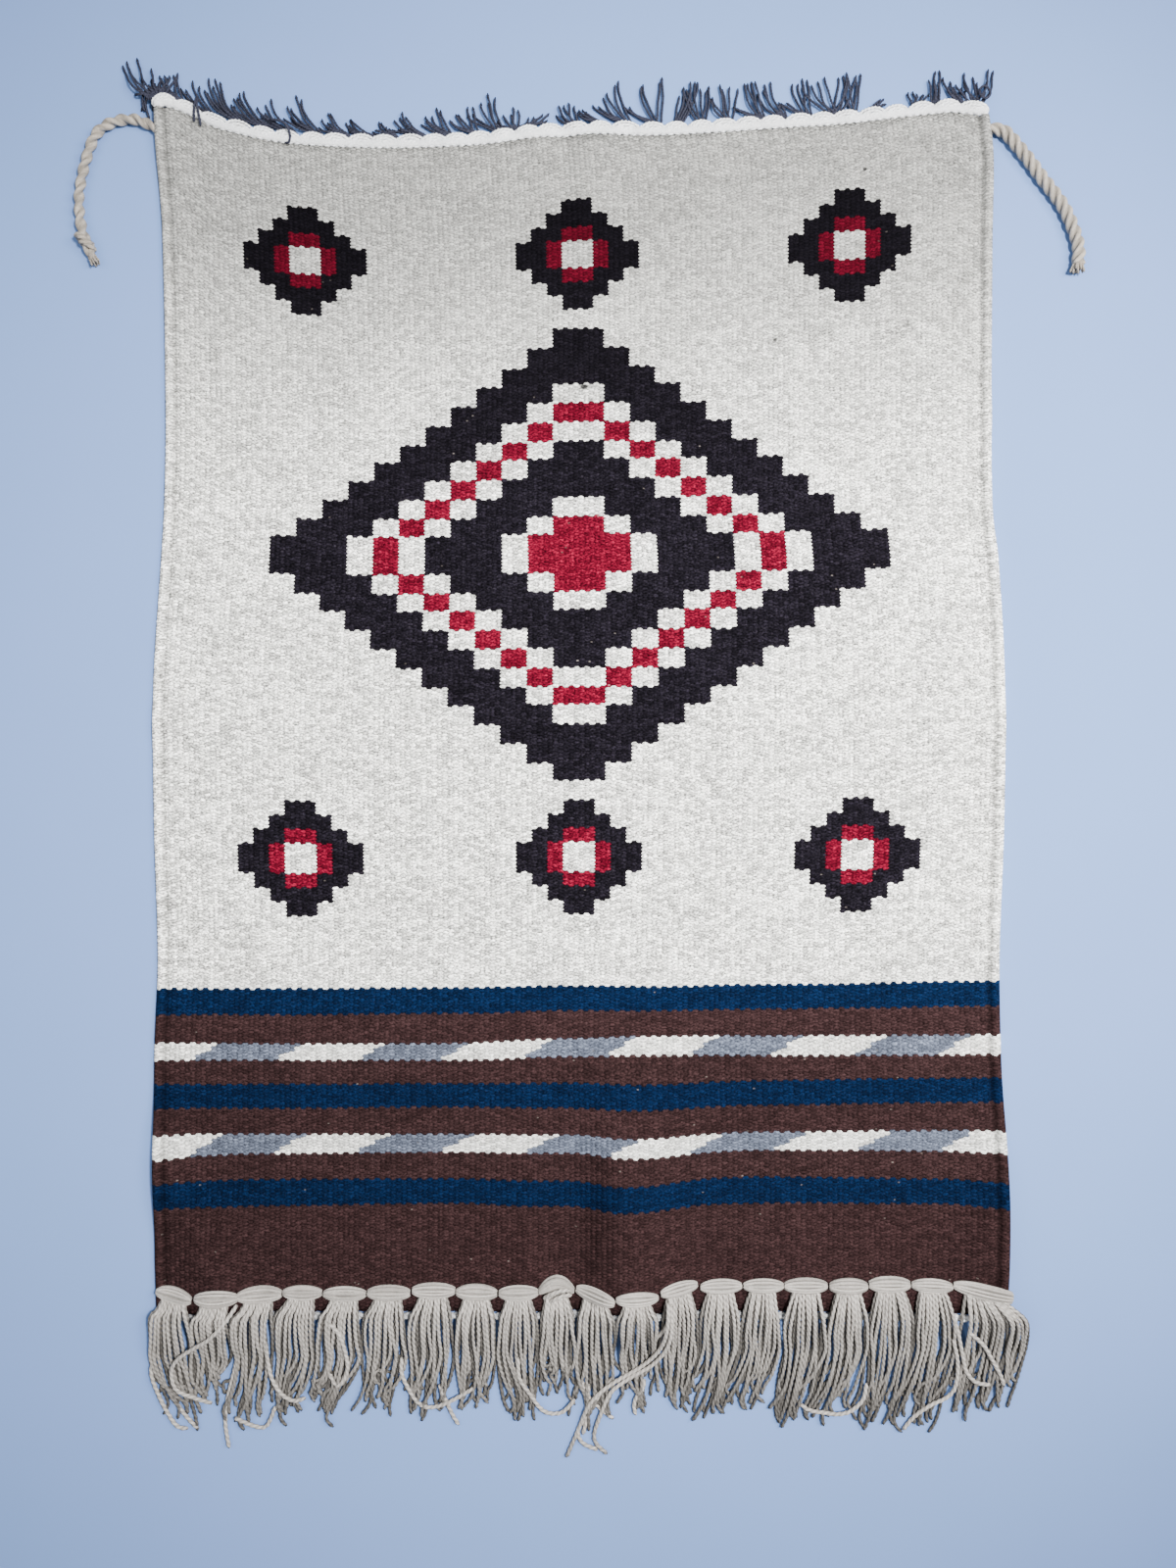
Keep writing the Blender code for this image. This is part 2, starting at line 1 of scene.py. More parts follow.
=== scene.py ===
"""Woven wool rug lying on a pale floor, seen from straight above.

The tables are in millimetres, in the rug's own layout: +X across it to the right,
+Y up it towards the warp ends. Function at_part() takes layout points to metres in
the part's frame.
"""

import math
import random
from collections import namedtuple

import bpy
import numpy as np
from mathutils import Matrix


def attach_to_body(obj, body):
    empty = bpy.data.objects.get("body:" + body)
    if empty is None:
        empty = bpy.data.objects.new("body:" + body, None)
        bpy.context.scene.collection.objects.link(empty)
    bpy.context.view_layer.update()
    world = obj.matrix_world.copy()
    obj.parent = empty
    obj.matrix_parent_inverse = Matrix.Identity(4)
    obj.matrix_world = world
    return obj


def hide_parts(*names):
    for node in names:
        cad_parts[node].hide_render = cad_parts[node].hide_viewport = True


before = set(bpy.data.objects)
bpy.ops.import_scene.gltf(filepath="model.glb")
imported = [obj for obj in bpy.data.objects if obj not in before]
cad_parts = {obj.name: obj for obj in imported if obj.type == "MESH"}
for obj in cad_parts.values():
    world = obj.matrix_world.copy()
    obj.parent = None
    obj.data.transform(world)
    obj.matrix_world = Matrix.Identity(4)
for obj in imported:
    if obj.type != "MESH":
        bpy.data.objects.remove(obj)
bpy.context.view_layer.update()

MM = 0.001
FOOTPRINT_MIDDLE = (-2.71, -0.15)

# Camera: straight above, in the layout's millimetres.
CAMERA_PLACE = (3.5, -17.4, 860.0)
CAMERA_LENS = 27.18
CAMERA_SENSOR = 36.0

# Weave
RIB_PITCH = 3.8
RIB_COUNT = 162
BEAD_PITCH = 2.6
RIB_VALLEY = 2.7
RIB_RELIEF = 0.55
COLUMNS_PER_RIB = 4
SELVEDGE_RIBS = 3
# Selvedge groove: its place in from the edge, and the reach and depth of the painted shade in it.
SELVEDGE_GROOVE = 8.2
GROOVE_REACH = 2.2
GROOVE_PAINTED_SHADE = 0.45
WEFT_WANDER = 1.6
HAIR_FROM = 0.56
LINT_FROM = 0.9994
CLOTH_TOP = 468.0
CLOTH_BOTTOM = -402.0
CLOTH_ROW_COUNT = 129
UNDERSIDE_STRIDE = 8
WEAVE_START = 476.0
WEAVE_WIDTH = RIB_PITCH * RIB_COUNT

# Field design, in millimetres across and down the weave.
MEDALLION_U = 308.0
MEDALLION_V = 322.0
MEDALLION_STEP = (19.0, 14.0)
SMALL_AT = (203.0, 224.0)
SMALL_STEP = (11.4, 10.5)

# Edge cords, and the gap between them and the cloth
EDGE_GAP = 0.4
TOP_CORD_HALF_WIDTH = 4.4
TOP_CORD_HEIGHT = 7.0
TOP_CORD_TURN = 17.8
BOTTOM_CORD_HALF_WIDTH = 2.9
BOTTOM_CORD_HEIGHT = 5.4
BOTTOM_CORD_TURN = 12.0
# The bottom cord gets painted shade left of this place across, in metres of the part.
UNSHADED_CORD_END = 0.2715
CORD_RING_STEP = 1.3
EDGE_LOOP_PITCH = 5.4
EDGE_LOOP_HEIGHT = 3.2

# Warp ends
WARP_RADIUS = 1.1
WARP_RING_STEP = 1.8
WARP_SPACING = 1.15
WARP_RUNS = (-330.0, -227.5, -58.0, 125.5, 310.0)

# Tassels
YARN_RADIUS = 1.46
YARN_TURN = 8.5
YARN_RING_STEP = 1.35
TASSEL_STRANDS = 19
WIDE_TASSEL_STRANDS = 29
HEAD_YARNS = 6
HEAD_SPREAD = 1.006
HEAD_LOWERING = 2.0
HEAD_HEIGHT = 6.0
HEAD_FULLNESS = 0.45
WRAPPED_FULLNESS = 0.3
WIDE_HEAD = 18.0
BELLY_DROP = 48.0
# Painted light and shade along the tassel strands, by their yarn coordinate: where the shade starts, its
# bounds, and where stray and lower strands start.
STRAND_SHADE_START = 0.036
BRIGHTEST_PAINTED_STRAND = 1.3
DARKEST_PAINTED_STRAND = 0.3
STRAY_STRAND_LIGHT_START = -90.0
UNDER_STRAND_SHADE_START = 58.0

# Corner ropes
ROPE_RING_STEP = 1.2


def table(fields, *rows):
    """A table's rows with names for its columns."""
    return [namedtuple("Row", fields)(*row) for row in rows]


SIDES = table(
    "y left right",
    (476, -310.4, 292.2), (436, -309.5, 297.5), (380, -305.6, 297.1), (245, -303.1, 296.4),
    (180, -304.3, 297.4), (146, -306.3, 301.5), (53, -312, 306.3), (-46, -311.6, 305.6),
    (-145, -308.8, 302.2), (-216, -311.3, 303.3), (-280, -310.8, 305.9), (-358, -311, 306.2),
    (-404, -309.8, 305),
)

# Middle line of the two edge cords, by place across the rug.
TOP_EDGE = (
    (-312, 474.2), (-300, 475.4), (-281.5, 469.5), (-263.7, 461.6), (-216, 451.4), (-144, 447.7),
    (-80, 449.8), (-29.8, 454.8), (15.6, 456.9), (61, 457.1), (144, 462.2), (189.3, 465.2),
    (261.6, 472.8), (283.6, 469.5), (294, 469.7),
)
BOTTOM_EDGE = (
    (-312, -402), (-96, -402.4), (0, -401), (35, -399.5), (75, -401), (272, -403.4), (310, -400.5),
)

# Folds and lifted corners: each is a smooth hump with its own reach to each side.
HUMPS = table(
    "x y left right up down height",
    (28, -322, 37, 66, 106, 300, 15),
    (-42, -340, 45, 28, 110, 300, 2.8),
    (2, 440, 15, 40, 300, 120, 2.4),
    (-30, 440, 40, 15, 300, 120, 1.8),
    (3, 90, 16, 36, 330, 330, 1.2),
    (0, 25, 900, 900, 26, 22, 1.8),
    (250, 250, 420, 120, 22, 20, 1.5),
    (-266, -400, 38, 42, 105, 300, 9),
    (-311, -294, 60, 34, 70, 60, 6),
    (309, -335, 50, 70, 110, 200, 11),
    (-312, 478, 60, 45, 60, 70, 4.5),
    (294, 474, 45, 60, 60, 70, 4.5),
)

# Height of the selvedge over the cloth's underside, by distance in from the edge.
SELVEDGE = table(
    "inset height",
    (0, 1), (0.5, 2.4), (1.3, 3.7), (2.4, 4.4), (3.6, 4.6), (4.8, 4.4), (5.8, 3.9), (6.7, 3.1),
    (7.5, 2.2), (8.4, 1.9), (9.8, 2.5), (11.4, RIB_VALLEY),
)

# How far the weft lines sink below level, down the weave, at these shares across it.
SINK_SHARES = (0.0, 0.12, 0.35, 0.5, 0.58, 0.72, 1.0)
SINKS = table(
    "v sunk",
    (450, (0, 0, 0, 0, 0, 0, 0)),
    (600, (0, 0, -0.5, -1.5, -1.5, -2.5, -4.5)),
    (641, (0, -0.3, -0.9, -2.3, -2, -3.3, -5.6)),
    (660, (0.8, 0.5, -0.4, -3, -2.3, -4, -5.6)),
    (680, (0.6, 0.8, 0.7, -3, -5, -5, -5.4)),
    (693, (0, -0.5, -0.2, -2.7, -3.4, -3.3, -3.9)),
    (710, (0.5, 0.4, -0.5, -0.4, 0.6, -2.6, -4.4)),
    (728, (1, 0.8, -0.3, 0.5, 1.5, -1.5, -3.6)),
    (746, (0.3, 0, 0.1, 1, 2.5, -1.8, -2.8)),
    (762, (2, -1.4, -2.8, -2.2, -0.6, -4.6, -3)),
    (780, (1.2, -1, -1.4, 0.2, 0.5, -2.6, -0.8)),
    (798, (1.8, 0, -2, 0.3, 0.4, -2.2, -1.4)),
    (878, (0, 0, -1, 0, 0, -1, -1)),
)

# Stripes of the lower border, each from its start down to the next one.
STRIPES = table(
    "start colour",
    (641.6, "blue"), (660.3, "brown"), (680.5, "slanted"), (693.3, "brown"), (710.3, "blue"),
    (727.8, "brown"), (746.5, "slanted"), (762.1, "brown"), (780.5, "blue"), (798.2, "brown"),
)
SLANT_FIRST = 37.5
SLANT_PERIOD = 60.4
SLANT_SLOPE = 1.72

# Rings of the stepped diamonds, from the middle outwards.
MEDALLION_RINGS = table(
    "steps colour",
    (2, "red"), (1, "cream"), (3, "dark"), (1, "cream"), (1, "red"), (1, "cream"), (3, "dark"),
    (4, "cream"),
)
SMALL_RINGS = table(
    "steps colour",
    (1, "cream"), (1, "red"), (2, "dark"), (4, "cream"),
)

# Painted shade over the upper part and over the lower border, where less light falls: from and to
# these places down the weave, with these factors.
PAINTED_SHADE_TOP = (30.0, 330.0, 0.38, 1.0)
PAINTED_SHADE_BORDER = (620.0, 720.0, 1.0, 0.84)

# Strength of the grain with its painted bead shade, as a power, likewise for the upper part and the lower
# border.
GRAIN_TOP = (30.0, 330.0, 0.85, 1.6)
GRAIN_BORDER = (630.0, 645.0, 1.0, 0.65)

# Small stains: place across and down the weave, reach, and strength.
STAINS = table(
    "u v across along strength",
    (543, 163, 8, 3, 0.22),
    (552, 160, 3.6, 1.6, 0.55),
    (312, 198, 3, 1.9, 0.93),
    (520.5, 43, 1.5, 1.3, 0.9),
    (454, 166, 1.5, 1.2, 0.88),
)

# Groups of warp ends along the top edge: the group's root, and its tips from there,
# measured across and up from the cord's outer side.
THRUM_GROUPS = table(
    "x tips",
    (-309, [(-18.7, 22.4), (-16, 24.5), (-7, 17.9), (-14, 3), (-9, -9)]),
    (-305, [(-3, 12), (0.5, 15.5), (5.5, 14), (-8, 9)]),
    (-291.6, [(-15, 9.7), (-13.5, 17.9), (-4.5, 17.9)]),
    (-268.5, [(-19.4, 18.6), (-16, 13), (-12.7, 22.4)]),
    (-248.4, [(-22.6, 22), (-21, 27.5), (-17.2, 29.8)]),
    (-228.6, [(-23, 15), (-22.4, 20.1), (-17.9, 26.9)]),
    (-210.3, [(-22, 11), (-21.6, 15), (-18.4, 20.4)]),
    (-190.9, [(-21, 11), (-20.1, 16.4), (-15.7, 23.9)]),
    (-171.4, [(-16, 6), (-15.7, 9.7), (-12.7, 15.7)]),
    (-153.6, [(-16.4, 8.2), (-14.2, 11.2), (-15, 5)]),
    (-137.1, [(-13, 3.5), (-9.7, 10), (-6, 6)]),
    (-116.3, [(-18, 5), (-17.9, 11), (-14, 14)]),
    (-97.1, [(-16, 8), (-14, 12.5), (-8, 17.5)]),
    (-78, [(-15.8, 8.5), (-12, 12), (-4, 17.6)]),
    (-60.5, [(-19.2, 11.5), (-10.1, 18.7), (-7.3, 23.2)]),
    (-49.1, [(-9.1, 6.2), (-5, 9), (-1.2, 13.6)]),
    (-44, [(8, 7.5), (16, 9), (14, 5)]),
    (-6.5, [(-9.5, 6), (-8.5, 12), (-3, 13.5)]),
    (10.6, [(-12, 7), (-11.3, 10.2), (-9, 8)]),
    (32.8, [(-20.3, 13), (-15.3, 19.8), (-9.6, 26)]),
    (53.7, [(-20.4, 12), (-10.8, 28), (0.9, 31)]),
    (68.8, [(4, 20), (7, 25), (10, 24.5)]),
    (85.8, [(-10, 22), (-3, 24), (4, 23.5)]),
    (104.9, [(-10.3, 13.8), (-4.3, 22.3), (2.6, 22.3)]),
    (129, [(-16.4, 6.9), (-9.5, 21.5), (-5.5, 25.7)]),
    (144.5, [(-13.8, 15.5), (-10.4, 20.6), (-3, 9)]),
    (162.5, [(-15.5, 8.1), (-8.7, 19.2), (-2.6, 25.2)]),
    (182.2, [(-17.2, 17.2), (-8.5, 24), (4.3, 25.8), (10.4, 27.5)]),
    (196, [(-5.2, 25.8), (2.5, 25)]),
    (204.9, [(12.6, 3.5), (10, 7)]),
    (241, [(-3, 8), (3, 6), (6, 7)]),
    (255.2, [(-2, 15), (1.8, 21.5), (0, 12)]),
    (272.5, [(-7.7, 16.4), (-5.7, 12), (2, 11)]),
    (283.6, [(-9, 16), (-3, 20), (4, 15), (9.9, 25.5)]),
)

# Warp ends that hang over the front of the top edge.
OVER_ENDS = [
    [(-278.9, 478, 6), (-278.9, 472.5, 9.5), (-280.4, 466.2, 7.5), (-280.8, 460.5, 5.4)],
    [(-277.6, 478, 6), (-277.6, 471.5, 9.5), (-276.9, 465, 7.5), (-276.2, 457.6, 5.2)],
    [(-226.5, 462.5, 5), (-215.8, 458.6, 9), (-211.4, 451.6, 7.5), (-212.4, 446.4, 5),
     (-215.5, 446.1, 4.6)],
    [(-310.5, 485.5, 5), (-316.5, 482.5, 5.2), (-318.8, 476.5, 3.6), (-317.8, 469.8, 2)],
    [(-309.5, 485, 4), (-314.4, 481, 5), (-316.6, 474.5, 3.6), (-314.4, 464.6, 2)],
    [(283, 480, 4.6), (289, 486.5, 5.6), (293.4, 481, 7.2), (290, 475.4, 9.4), (285.8, 477.4, 9.2),
     (285.6, 482.6, 7.2)],
]

# Tassels: head middle, half length, half depth, tilt and arch, then the strands' middle
# and half spread at their belly and at their tips, the usual tip and the longest one.
TASSELS = table(
    "x y half depth tilt arch belly belly_half tip tip_half tip_y longest_y",
    (-293.2, -384.4, 13.4, 6.6, -10, 0, -298.8, 15.2, -287.5, 12, -474, -486),
    (-261.8, -384.7, 15, 6.8, 0, 0, -268.5, 11.5, -270.5, 8, -458, -468),
    (-231.9, -384.1, 14.9, 6.8, 0, 0, -239.2, 12.5, -246.5, 12.5, -474, -484),
    (-201.7, -383.2, 13.7, 6, 0, 0, -208.3, 14.2, -215.5, 11.5, -470, -484),
    (-171.4, -384.1, 15, 6.2, 0, 0, -177.2, 13.2, -188.5, 10.5, -469, -484),
    (-139.7, -383.5, 15, 6.4, 0, 0, -144, 13.6, -149, 11, -467, -476),
    (-107.4, -381.7, 15, 6.2, 0, 0, -110.6, 14.2, -114.2, 15, -470, -480),
    (-76.5, -382.8, 14.3, 6.8, 0, 0, -78.3, 13.2, -80.2, 11, -464, -471),
    (-46.4, -382.4, 13.6, 6.3, 2, 0, -46.8, 12.9, -46.1, 12.3, -472, -479),
    (-19.2, -382, 12.2, 6, 0, 6, -18.6, 10.6, -19.9, 9.4, -461, -468),
    (8.7, -382.9, 13.5, 6.2, -12, 0, 8.7, 11.8, 8.5, 12.6, -470, -486),
    (38.4, -383, 14.6, 6, 0, 0, 38.9, 13.6, 39.7, 12.6, -464, -473),
    (68.6, -378.7, 13.1, 5.8, 9, 0, 69.8, 11.9, 66.6, 8.5, -464, -472),
    (99, -378.7, 14.5, 6.2, 2, 0, 98.9, 12.6, 90, 11.2, -471, -479),
    (129.5, -378.3, 14, 6, 0, 0, 127.9, 11.9, 118.4, 12.6, -465, -474),
    (160, -378.5, 15.1, 6.4, 0, 0, 159.6, 13.9, 148, 12.4, -475, -484),
    (190.7, -378.7, 13.4, 6.6, 0, 0, 190.9, 13.5, 178.5, 13.6, -471, -482),
    (220.1, -377.4, 14.4, 6.4, 0, 0, 222, 14.4, 212.3, 13.6, -480, -486),
    (250.6, -378.2, 14.4, 6, -3, 0, 253, 14.2, 243, 13.6, -476, -487),
    (285.3, -380, 19.6, 6.2, -8, 0, 297, 21.4, 286, 24, -466, -479),
)

# Single strands that stray across their neighbours: tassel number and route.
STRAYS = table(
    "tassel route",
    (1, [(-307, -424, 3), (-312.6, -442, 3.4), (-307, -461, 2.6), (-299.6, -476, 1.7),
         (-293.5, -483.4, 1.5), (-286.5, -484.4, 1.5)]),
    (1, [(-303.5, -450, 3.6), (-296, -464, 2.4), (-287.4, -476, 1.6), (-279, -484.8, 1.5)]),
    (7, [(-104, -452, 3.4), (-99.5, -464, 2.4), (-94.5, -475, 1.6), (-90, -482, 1.5)]),
    (12, [(44.4, -448, 3.4), (42.8, -455.9, 3.2), (38.7, -461, 2.8), (36.8, -468, 2),
         (38.1, -474.7, 1.5)]),
    (13, [(62.6, -398, 11), (58.5, -407, 13), (52.4, -414.7, 11), (47, -419.6, 7)]),
    (13, [(60.5, -386, 20), (59.6, -404.5, 21), (54.6, -422.9, 12), (42.5, -437.1, 6.4),
         (23.4, -448.4, 6.2), (12.1, -457, 5.6), (3.5, -467.6, 4.4), (-3.5, -485.3, 1.6),
         (-12.1, -505.4, 1.3)]),
    (13, [(62.5, -388, 19), (62, -414.4, 15), (51.8, -434.2, 7.4), (32.5, -446.4, 6.4),
         (20.4, -456.1, 5.8), (13.9, -470.4, 3.4), (8, -491.7, 1.4), (17.4, -503, 1.3)]),
    (12, [(22.2, -446, 3), (14.2, -457, 3), (7.8, -465.5, 2.6), (3.5, -475.4, 1.4), (-0.2, -488.9, 1.3)]),
    (11, [(4, -452, 2.6), (1.7, -474.2, 1.4), (-3.8, -486.7, 1.3), (-0.2, -495.2, 1.3),
         (10.4, -499.9, 1.3)]),
    (11, [(-2, -448, 2.6), (5, -462.6, 2.4), (12.1, -469.7, 1.4), (22, -477.5, 1.3)]),
    (10, [(-28.6, -388.6, 6), (-24.6, -384.6, 10.2), (-17.6, -381, 11.8), (-10, -381.6, 8)]),
    (10, [(-24.4, -390.6, 7), (-20.6, -387.4, 10.4), (-14.6, -384.6, 10.8), (-8.4, -385.6, 7)]),
    (9, [(-47, -432, 4), (-46.1, -446.3, 4.8), (-39, -457.6, 4.6), (-28.4, -471.6, 2.6),
         (-15.6, -472.2, 3.2), (-6.1, -462.2, 4.4)]),
    (3, [(-247.6, -390.1, 13), (-256, -402, 18), (-267, -413.4, 17), (-279.6, -421.7, 14),
         (-291.4, -430.9, 10.6), (-296.4, -441.2, 8), (-293.4, -454.5, 6), (-280.6, -460.6, 5.4),
         (-268, -464.8, 4.8)]),
    (3, [(-229.6, -420, 5), (-227.2, -436, 5.8), (-224.2, -447.8, 5.6), (-217.6, -458.2, 5),
         (-208.8, -463, 4.8), (-200.6, -460.9, 4.6)]),
    (3, [(-248, -424, 3), (-252.4, -442, 3.4), (-257.4, -462, 2.4), (-259.4, -480, 1.5),
         (-256.6, -498.6, 1.5)]),
    (3, [(-252, -475.5, 4), (-241, -481, 3.2), (-231, -483.4, 2.6), (-226, -476.5, 3),
         (-223, -468, 3.6)]),
    (5, [(-182.6, -404.8, 10), (-176.5, -411.5, 9), (-172.6, -421.7, 8), (-170, -437, 5.8),
         (-172.5, -447, 4.8), (-178, -452.4, 4.4), (-183.4, -443.2, 4.8)]),
    (7, [(-131, -432, 4), (-130.5, -445.6, 4.6), (-118.4, -466.2, 2.8), (-102.8, -466.9, 3.6),
         (-79.4, -454.1, 4.6)]),
    (16, [(157, -466, 3), (163.5, -469.8, 4.6), (175, -471.8, 4.6), (184.4, -472.8, 4.6),
         (193.4, -470.4, 4.6), (202, -461.9, 5), (204.6, -450.4, 5)]),
    (19, [(267, -418, 6), (270.3, -436.2, 6), (268.4, -453, 5.4), (262, -460.6, 5.2), (251, -466, 5),
         (240.1, -474.9, 3), (231.8, -485.5, 1.6)]),
    (20, [(266, -400, 9), (269.7, -412, 8.4), (273.9, -431.1, 6.6), (276.5, -441.4, 5.8),
         (283.4, -449.2, 5.4), (294.2, -451.3, 5.2)]),
    (20, [(277, -411, 10), (287.5, -420.5, 9.6), (294.6, -432.3, 8), (300.5, -443, 6.4),
         (304, -452, 4.8)]),
)

# Corner ropes: their plies' number and thickness, the length of a turn, then the frayed
# yarns at the free end. Shape is the thickness by share of the length, and the wraps are
# turns of yarn that tie the left rope's knob. The route on the floor starts at the cloth.
Wrap = namedtuple("Wrap", "x y reach height slant radius")
ROPES = table(
    "end far_end diameter plies ply turn yarns spread yarn_length shape wraps route",
    ("left", "knot", 8.2, 2, 0.62, 19.6, 12, 0.35, 4.5,
     [(0, 0.8), (0.08, 1), (0.7, 0.92), (0.84, 1), (0.9, 1.1), (0.94, 0.9), (1, 0.84)],
     [Wrap(-360.2, 375.4, 5.6, 5, -30, 2.4), Wrap(-358.2, 371.6, 5, 4.6, -26, 2)],
     [(-307.6, 455.4), (-314.6, 459.6), (-323.5, 462.8), (-333.5, 462.6), (-343.5, 459.4),
      (-351.5, 453), (-356.8, 441.8), (-361.6, 424.8), (-364.3, 407.4), (-363.4, 390.2),
      (-360.4, 376.8), (-357, 368), (-353.6, 361.6)]),
    ("right", "bare", 9.4, 3, 0.52, 24, 18, 0.45, 6.5,
     [(0, 0.75), (0.08, 1), (0.92, 1), (1, 1.08)], [],
     [(291.8, 455.6), (299.6, 455.6), (306.2, 452.2), (314.1, 443.2), (322.7, 432.6),
      (331.4, 420.6), (339.1, 410.8), (346.7, 400), (352, 389), (356.4, 377), (358.1, 367.2),
      (357.4, 357.6)]),
)

# Colours as 0 to 255 screen values.
PALETTE = {
    "cream": (227, 225, 218),
    "dark": (21, 18, 24),
    "red": (99, 10, 32),
    "blue": (6, 24, 50),
    "brown": (48, 32, 32),
    "lavender": (94, 100, 114),
    "lint": (150, 140, 130),
    "tassel": (160, 154, 147),
    "rope": (163, 154, 142),
    "cotton": (254, 254, 254),
    "slate": (60, 61, 74),
    "floor": (118, 146, 198),
}


def linear(name):
    """A palette colour as linear light."""
    values = [value / 255.0 for value in PALETTE[name]]
    return [v / 12.92 if v <= 0.04045 else ((v + 0.055) / 1.055) ** 2.4
            for v in values] + [1.0]


def at_part(points):
    """Layout points in millimetres as points of the part in metres."""
    return (np.asarray(points, dtype=float) - np.array([*FOOTPRINT_MIDDLE, 0.0])) * MM


def smooth_read(rows, at):
    """Read a smooth curve through (place, value) rows, at one place or many."""
    places, values = np.array(sorted(rows), dtype=float).T
    at = np.clip(at, places[0], places[-1])
    index = np.clip(np.searchsorted(places, at) - 1, 0, len(places) - 2)
    before = np.maximum(index - 1, 0)
    after = np.minimum(index + 2, len(places) - 1)
    span = places[index + 1] - places[index]
    slope_in = (values[index + 1] - values[before]) / (places[index + 1] - places[before]) * span
    slope_out = (values[after] - values[index]) / (places[after] - places[index]) * span
    u = (at - places[index]) / span
    return (
        (2 * u**3 - 3 * u**2 + 1) * values[index]
        + (u**3 - 2 * u**2 + u) * slope_in
        + (-2 * u**3 + 3 * u**2) * values[index + 1]
        + (u**3 - u**2) * slope_out
    )


def selvedges(y):
    """Places of the left and the right selvedge at a height up the rug."""
    return [smooth_read([(row[0], row[column]) for row in SIDES], y) for column in (1, 2)]


def top_line(x):
    """Middle line of the top cord."""
    return smooth_read(TOP_EDGE, x)


def bottom_line(x):
    """Middle line of the bottom cord."""
    return smooth_read(BOTTOM_EDGE, x)


def lift(x, y):
    """Height of the cloth's underside over the floor."""
    total = 0.0
    for hump in HUMPS:
        across = (x - hump.x) / np.where(x > hump.x, hump.right, hump.left)
        along = (y - hump.y) / np.where(y > hump.y, hump.up, hump.down)
        over_x = 1 + np.cos(np.pi * np.clip(across, -1, 1))
        over_y = 1 + np.cos(np.pi * np.clip(along, -1, 1))
        total = total + hump.height * 0.25 * over_x * over_y
    return total


def on_cloth(x, y):
    """Height of the cloth's upper side over the floor."""
    return lift(x, y) + RIB_VALLEY + RIB_RELIEF


def raised(x, y, height):
    """Path at a height over the cloth's underside."""
    return np.stack([x, y, lift(x, y) + height], axis=1)


def distances(path):
    """Distance along a path from its start to each of its points."""
    steps = np.linalg.norm(np.diff(path, axis=0), axis=1)
    return np.concatenate([[0.0], np.cumsum(steps)])


def smooth_path(points, step):
    """Evenly spaced points, as an array, on a smooth curve through a route's points."""
    points = np.asarray(points, dtype=float)
    u = np.linspace(0.0, 1.0, 12, endpoint=False)[:, None]
    fine = []
    for i in range(len(points) - 1):
        before = points[max(i - 1, 0)]
        first = points[i]
        second = points[i + 1]
        after = points[min(i + 2, len(points) - 1)]
        fine.append(0.5 * (
            2 * first
            + (second - before) * u
            + (2 * before - 5 * first + 4 * second - after) * u**2
            + (3 * first - before - 3 * second + after) * u**3
        ))
    fine.append(points[-1:])
    fine = np.concatenate(fine)
    lengths = distances(fine)
    count = max(int(round(lengths[-1] / step)), 3)
    wanted = np.linspace(0.0, lengths[-1], count + 1)
    return np.stack([np.interp(wanted, lengths, fine[:, k]) for k in range(3)], axis=1)


def directions(path):
    """Direction of a path at each of its points."""
    along = np.gradient(path, axis=0)
    return along / np.linalg.norm(along, axis=1)[:, None]


def mesh_object(name, points, faces, material, uv_name, corner_uvs):
    """A smooth shaded mesh of layout points, with a UV for each corner of its faces."""
    mesh = bpy.data.meshes.new(name)
    mesh.from_pydata(at_part(points).tolist(), [], faces)
    layer = mesh.uv_layers.new(name=uv_name)
    layer.data.foreach_set("uv", corner_uvs.astype(np.float32).ravel())
    mesh.shade_smooth()
    mesh.materials.append(material)
    item = bpy.data.objects.new(name, mesh)
    bpy.context.scene.collection.objects.link(item)
    return item


def ply_section(plies, sides, groove):
    """Reach of a yarn's section at each side: 1 on its plies and less between them."""
    angle = np.arange(sides) * math.tau / sides
    return 1.0 - groove * 0.5 * (1.0 - np.cos(plies * angle))


def rope_section(plies, ply, sides=24):
    """Reach of a rope's section: the outer line of round plies that lie together."""
    apart = 1.0 - ply
    angle = np.arange(sides) * math.tau / sides
    sector = math.tau / plies
    off = (angle + sector * 0.5) % sector - sector * 0.5
    return apart * np.cos(off) + np.sqrt(ply**2 - (apart * np.sin(off)) ** 2)


ROUND = ply_section(1, 10, 0.0)
TWO_PLY = ply_section(2, 6, 0.24)
BUNDLE = ply_section(5, 20, 0.26)
# Corners of a tube's face, in rings along it and columns around it.
CORNERS = ((0, 0), (0, 1), (1, 1), (1, 0))


